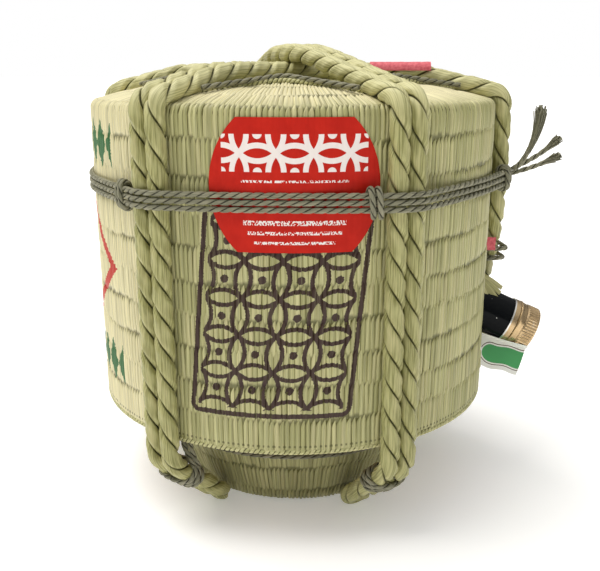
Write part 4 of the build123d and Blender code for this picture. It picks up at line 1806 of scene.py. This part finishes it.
    def _staples(self) -> None:
        """Staples over the back rope at the seam, where it swings."""
        swing_top, swing_drop = 158.5, 46.0
        spots = [(radius, -side) for radius, side in self.staple] + list(self.staple[::-1])
        forms = []
        for height in self.staple_heights:
            azimuth = BACK + (FOOT_SWING - BACK) * (swing_top - height) / swing_drop
            points = [place(azimuth, radius * MM, side * MM, height * MM) for radius, side in spots]
            forms.append(CORD.form(nurbs_route(points), False, 97 + len(forms)))
        self._add_cord(Form.join(forms), "seam_tie")

    def _tails(self) -> None:
        """Free cut ends of the waist cord at the back rope."""
        face = SIDE + CORD_WRAP + CORD_RADIUS
        up = Vector((0, 0, 1))
        out = outward(BACK)
        for index, ((side, lean, strand, reach), (loose, spread)) in enumerate(zip(self.tails, self.frays)):
            first, last = math.radians(lean / 2), math.radians(lean)
            radius = face + CORD_RADIUS * math.sin(first) + 0.2 * MM
            start = place(BACK, radius, side * MM, WAIST + strand * CORD_PITCH)
            middle = start + (out * math.cos(first) + up * math.sin(first)) * reach * MM / 2
            end = middle + (out * math.cos(last) + up * math.sin(last)) * reach * MM / 2
            route = nurbs_route([start, middle, end])
            name = f"cord_tail_{index + 1}"
            piece = self._add_cord(CORD.form(route, False, 100 + index), name)
            brush = self._brush(route, loose, spread, 110 + index)
            fray = add_piece(brush.mesh(name + "_fray"), self.materials.cord)

    @staticmethod
    def _brush(route: np.ndarray, start: float, spread: float, seed: int) -> Form:
        """Loose fibres that splay from a share of a route to its end.

        Args:
            route: points along the cord.
            start: share of the route where it unlays.
            spread: how far the fibres end from the route, in millimetres.
            seed: for the fibres' ways.
        Returns:
            Thin three-sided fibres.
        """
        random = np.random.default_rng(seed)
        across, down = Lay.frames(route, False)
        count, stations, fibres, root = len(route), 7, 46, 0.8
        forms = []
        for fibre in range(fibres):
            turn = random.uniform(0, 2 * math.pi)
            end = random.uniform(0.86, 1.0)
            reach = spread * math.sqrt(random.uniform(0.02, 1))
            points = []
            for share in np.linspace(0, 1, stations):
                index = (start + (end - start) * share) * (count - 1)
                at = int(index)
                spot = route[at] + (route[min(at + 1, count - 1)] - route[at]) * (index - at)
                off = (root + (reach - root) * share**1.6) * MM
                bend = turn + 0.5 * share
                spot = spot + (math.cos(bend) * across[at] + math.sin(bend) * down[at]) * off
                thick = (0.5 - 0.18 * share) * MM
                for corner in (0, 2.1, 4.2):
                    way = math.cos(corner) * across[at] + math.sin(corner) * down[at]
                    points.append(spot + way * thick)
            around = np.tile([0, 0.6, 1.2], stations) * MM
            along = np.repeat(np.linspace(0, 14, stations), 3) * MM
            strand = np.column_stack([around, along, np.full(len(points), fibre * 0.7)])
            attributes = {"strand": strand, "groove": np.zeros(len(points))}
            forms.append(Form(np.array(points), grid_faces(stations, 3, True), attributes))
        return Form.join(forms)


@dataclass
class Neck:
    """Screw cap with its paper seal.

    Attributes:
        materials: of the barrel.
        start: reach of the cap's lower edge along the neck.
        end: reach of its top.
        radius: of the cap.
        wall: of the cap.
        knurls: ridges round the cap.
        knurl_depth: of the grooves between them.
        paper_radius: of the seal where it is stuck to the cap, in millimetres.
        stuck: share of the seal that is stuck.
        paper_width: of the seal laid flat; not used.
    """

    materials: Materials
    start: float = 20.1 * MM
    end: float = 33.2 * MM
    radius: float = 14 * MM
    wall: float = 0.6 * MM
    knurls: int = 48
    knurl_depth: float = 0.55 * MM
    paper_radius: float = 14.25
    stuck: float = 0.22
    paper_width: float = 0.022

    def build(self) -> None:
        """Makes the cap and the seal."""
        self._cap()
        self._seal("seal_paper_neck", 5.0, 19.97, CASK, "seal_strip_neck")
        self._seal("seal_paper_cap", 19.95, 33.2, CAP, "seal_strip_cap")

    def _cap(self) -> None:
        """Rolled cap: a bead at its lower edge, a groove, a knurled side and a sunk top."""
        start, end, radius, wall = self.start, self.end, self.radius, self.wall
        knurl_start, knurl_end, slack = start + 6 * MM, end - 1.6 * MM, 0.1 * MM
        bead = ((-0.1, 0), (0.25, 0.5), (0.2, 1.2), (-0.25, 1.7), (-0.15, 3.2), (-0.6, 4.1), (-0.6, 4.6),
                (-0.05, 5.4))
        rim = ((-0.15, -0.9), (-0.7, -0.25), (-1.6, 0), (-3.4, 0), (-3.9, -0.35))
        profile = [(radius - wall, start)]
        profile += [(radius + out * MM, start + up * MM) for out, up in bead]
        profile += [(radius, reach) for reach in np.linspace(knurl_start, knurl_end, 9)]
        profile += [(radius + out * MM, end + up * MM) for out, up in rim]
        profile += [(0.3 * MM, end - 0.35 * MM), (0.3 * MM, end - 0.6 * MM), (radius - wall, end - wall),
                    (radius - wall, start)]

        def ripple(reach: float) -> float:
            """Depth of the grooves, which are on the knurled side only."""
            return self.knurl_depth if knurl_start - slack <= reach <= knurl_end + slack else 0.0

        form = neck_lathe(profile, 6 * self.knurls, ripple, self.knurls)
        add_piece(form.mesh("screw_cap"), self.materials.bronze, CAP, ["cap_shell"])

    def _paper(self, reach: float, share: float) -> Spot:
        """Place of a spot on the seal across the neck.

        Args:
            reach: how far along the neck, in millimetres.
            share: 0 at the stuck edge and 1 at the free edge.
        Returns:
            How far it is to the side of the neck's axis and below it, in millimetres.
        """
        edge = math.radians(30 + 1.08 * (32 - reach))
        turn = edge + math.radians(16) * min(share / self.stuck, 1.0)
        x, down = self.paper_radius * math.cos(turn), self.paper_radius * math.sin(turn)
        hang = max(0.0, share - self.stuck) / (1 - self.stuck)
        free_x = 16.2 + 0.06 * reach
        free_down = 31.2 - 0.2 * reach + 0.5 * math.sin(0.45 * reach)
        curl = 0.7 * math.sin(math.pi * hang)
        return x + (free_x - x) * hang + curl, down + (free_down - down) * hang

    def _length(self, reach: float) -> float:
        """Length of the paper from its stuck edge to its free edge, in millimetres."""
        spots = np.array([self._paper(reach, share) for share in np.linspace(0, 1, 24)])
        return float(np.linalg.norm(np.diff(spots, axis=0), axis=1).sum())

    def _seal(self, name: str, start: float, end: float, body: str, node: str) -> None:
        """Makes a part of the seal: stuck on the cap's lower side, then hanging free with a soft curl.

        Args:
            name: of the piece.
            start: reach of its inner edge, in millimetres; it also stays off the mat.
            end: reach of its outer edge, in millimetres.
            body: that it rides on.
            node: the CAD node that it stands for.
        """
        points, uv = [], []
        rows, columns = 20, 18
        mat = MAT_RADIUS / MM
        wall = mat + 0.45
        for share in np.linspace(0, 1, rows):
            low = start
            for _ in range(8):
                x, down = self._paper(low, share)
                touch = math.sqrt(wall**2 - x**2) - mat + down * math.sin(NECK_TILT)
                low = max(start, touch / math.cos(NECK_TILT))
            for reach in np.linspace(low, end, columns):
                x, down = self._paper(reach, share)
                points.append(on_neck(x * MM, down * MM, reach * MM))
                uv.append((reach, 19 - self._length(reach) * (1 - share), 0))
        form = Form(np.array(points), grid_faces(rows, columns), {"sheet_uv": np.array(uv, float)})
        mesh = form.mesh(name)
        paper = add_piece(mesh, self.materials.seal, body, [node])


@dataclass
class Papers:
    """Red label and pink bits, in degrees and millimetres.

    Attributes:
        materials: of the barrel.
        azimuth: of the label's middle.
        bottom: height of the label's lower edge.
        top: height of its upper edge.
        edge: half its width along those edges.
        width: half its width at its middle height.
        thickness: of the air and paper under its face.
    """

    materials: Materials
    azimuth: float = 95.0
    bottom: float = 157.5
    top: float = 219.5
    edge: float = 27.0
    width: float = 40.5
    thickness: float = 0.34

    def build(self) -> None:
        """Makes the papers."""
        self._label()
        self._tags()

    def _label(self) -> None:
        """Label with bowed sides, which follows the weave softly."""
        rows, columns = 48, 150
        middle = (self.bottom + self.top) / 2
        sag = self.width - self.edge
        bow = ((self.top - self.bottom) ** 2 / 4 + sag**2) / (2 * sag)
        float_pitch = 2.62
        random = np.random.default_rng(51)
        ripple = random.uniform(-1, 1, (8, 3))
        points, uv = [], []
        for z in np.linspace(self.bottom, self.top, rows):
            half = math.sqrt(bow**2 - (z - middle) ** 2) - bow + self.width
            for arc in np.linspace(-1, 1, columns) * half:
                soft = sum(a * math.sin(0.12 * (i + 1) * arc + b * 6) * math.cos(0.05 * z * i + c * 6)
                           for i, (a, b, c) in enumerate(ripple))
                lift = self.thickness + 0.05 * math.cos(2 * math.pi * arc / float_pitch) + 0.03 * soft
                turn = self.azimuth + math.degrees(arc / (MAT_RADIUS / MM))
                points.append(place(turn, MAT_RADIUS + lift * MM, 0, z * MM))
                uv.append((arc, z - middle, 0))
        form = Form(np.array(points), grid_faces(rows, columns), {"sheet_uv": np.array(uv, float)})
        label = add_piece(form.mesh("red_label"), self.materials.label, replaces=["paper_label"])

    def _tags(self) -> None:
        """Crumpled strip over the back rope's near strand and a chip that stands in the seam."""
        random = np.random.default_rng(52)
        rope_height, gap, chip_azimuth = 238.9, 5.5, 177.2
        strip = []
        for radius in np.linspace(44, 78, 18):
            for turn in np.radians(np.linspace(-8, 82, 9)):
                away = gap + random.uniform(-0.1, 0.12)
                side = -LEG - away * math.sin(turn) * MM
                strip.append(place(BACK, radius * MM, side, (rope_height + away * math.cos(turn)) * MM))
        chip = []
        for height in np.linspace(136.7, 144.5, 8):
            for radius in np.linspace(115.4, 120.5, 6):
                crumple = Vector(random.uniform(-0.15, 0.15, 3)) * MM
                chip.append(place(chip_azimuth, radius * MM, 0, height * MM) + crumple)
        forms = [Form(np.array(strip), grid_faces(18, 9)), Form(np.array(chip), grid_faces(8, 6))]
        bits = Form.join(forms).mesh("pink_bits")
        add_piece(bits, self.materials.pink, replaces=["paper_tags"])


@dataclass
class Inside:
    """Hidden pieces: the cedar tub, the straw and the keg keep their CAD shapes.

    Attributes:
        materials: of the barrel.
        nodes: CAD objects by name.
        fill: how full the straw packings are; not used.
        rough: least and most that their faces sink, in millimetres.
    """

    materials: Materials
    nodes: dict[str, Object]
    fill: float = 0.7
    rough: Spot = (0.1, 0.6)

    def build(self) -> None:
        """Paints the CAD nodes and roughens the straw packing."""
        cedar, bronze = self.materials.cedar, self.materials.bronze
        paints = {"stave": cedar, "tub": cedar, "foot_ring": cedar, "foot_board": cedar, "tamper": bronze,
                  "keg": self.materials.glass, "cap_liner": self.materials.liner}
        for name, node in self.nodes.items():
            paint = next((m for key, m in paints.items() if name.startswith(key)), None)
            if name.endswith("hoop"):
                paint = self.materials.bamboo
            if paint is not None:
                node.data.materials.clear()
                node.data.materials.append(paint)
        for name in ("keg_packing", "keg_pad", "top_pad"):
            self._straw(name)

    def _straw(self, name: str) -> None:
        """Makes a straw packing: the CAD block, roughened inwards.

        Args:
            name: of its CAD node.
        """
        mesh = self.nodes[name].data.copy()
        mesh.name = name + "_straw"
        random = np.random.default_rng(61)
        for vertex, sink in zip(mesh.vertices, random.uniform(*self.rough, len(mesh.vertices))):
            vertex.co -= vertex.normal * sink * MM
        piece = add_piece(mesh, self.materials.straw, replaces=[name])


@dataclass
class Studio:
    """Camera, light and floor. The camera is the one that was fitted to the photo.

    Attributes:
        azimuth: of the camera.
        distance: of the camera from the barrel's axis.
        shift: of the camera sideways.
        height: of the camera.
        pitch: how far it looks down.
        lens: focal length in millimetres.
        key_azimuth: where the soft key light comes from.
        key_rise: its height in degrees.
        key_spread: its size in degrees.
        key_strength: of the light.
        floor_reach: half the floor's width.
    """

    azimuth: float = 94.25
    distance: float = 478.4 * MM
    shift: float = 3.87 * MM
    height: float = 239.3 * MM
    pitch: float = 15.0
    lens: float = 48.0
    key_azimuth: float = 352.0
    key_rise: float = 66.0
    key_spread: float = 50.0
    key_strength: float = 2.3
    floor_reach: float = 30.0

    def build(self) -> None:
        """Sets the stage."""
        self._camera()
        self._sky()
        self._key()
        self._floor()

    def _camera(self) -> None:
        """Puts the camera where the photo was taken from."""
        data = bpy.data.cameras.new("camera")
        data.lens = self.lens
        data.sensor_width = 36.0
        camera = bpy.data.objects.new("camera", data)
        bpy.context.scene.collection.objects.link(camera)
        camera.location = place(self.azimuth, self.distance, self.shift, self.height)
        tilt = math.radians(self.pitch)
        ahead = -outward(self.azimuth) * math.cos(tilt) - Vector((0, 0, math.sin(tilt)))
        camera.rotation_euler = ahead.to_track_quat("-Z", "Y").to_euler()
        bpy.context.scene.camera = camera

    @staticmethod
    def _sky() -> None:
        """Bright overcast studio that is white behind the barrel."""
        scene = bpy.context.scene
        scene.view_settings.view_transform = "Standard"
        world = bpy.data.worlds.new("studio")
        scene.world = world
        world.use_nodes = True
        graph = Graph(world.node_tree)
        _, _, up = graph.split(graph.run("ShaderNodeTexCoord", {}, "Generated"))
        glow = up * up * 1.05 + 0.1
        seen = graph.run("ShaderNodeLightPath", {}, "Is Camera Ray")
        colour = graph.mix(seen, graph.vector(glow, glow, glow), (1.0, 1.0, 1.0, 1.0))
        graph.feed(world.node_tree.nodes["Background"].inputs["Color"], colour)

    def _key(self) -> None:
        """Soft warm key light from the left."""
        data = bpy.data.lights.new("key", "SUN")
        data.energy = self.key_strength
        data.angle = math.radians(self.key_spread)
        data.color = (1.0, 0.97, 0.92)
        light = bpy.data.objects.new("key", data)
        bpy.context.scene.collection.objects.link(light)
        rise = math.radians(self.key_rise)
        way = outward(self.key_azimuth) * math.cos(rise) + Vector((0, 0, math.sin(rise)))
        light.rotation_euler = way.to_track_quat("Z", "Y").to_euler()

    def _floor(self) -> None:
        """Wide white floor under the barrel."""
        reach = self.floor_reach
        corners = [(-reach, -reach, 0), (reach, -reach, 0), (reach, reach, 0), (-reach, reach, 0)]
        mesh = bpy.data.meshes.new("floor")
        mesh.from_pydata(corners, [], [(0, 1, 2, 3)])
        floor = bpy.data.objects.new("floor", mesh)
        bpy.context.scene.collection.objects.link(floor)
        mesh.materials.append(FloorFinish("floor").material())


def main() -> None:
    """Builds the barrel's looks."""
    logging.basicConfig(level=logging.INFO, format="%(name)s %(message)s")
    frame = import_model()
    materials = Materials.build()
    weave = Weave()
    Inside(materials, frame["nodes"]).build()
    Mats(materials, weave).build()
    Lashing(materials).build()
    Neck(materials).build()
    Papers(materials).build()
    Studio().build()


if __name__ == "__main__":
    main()
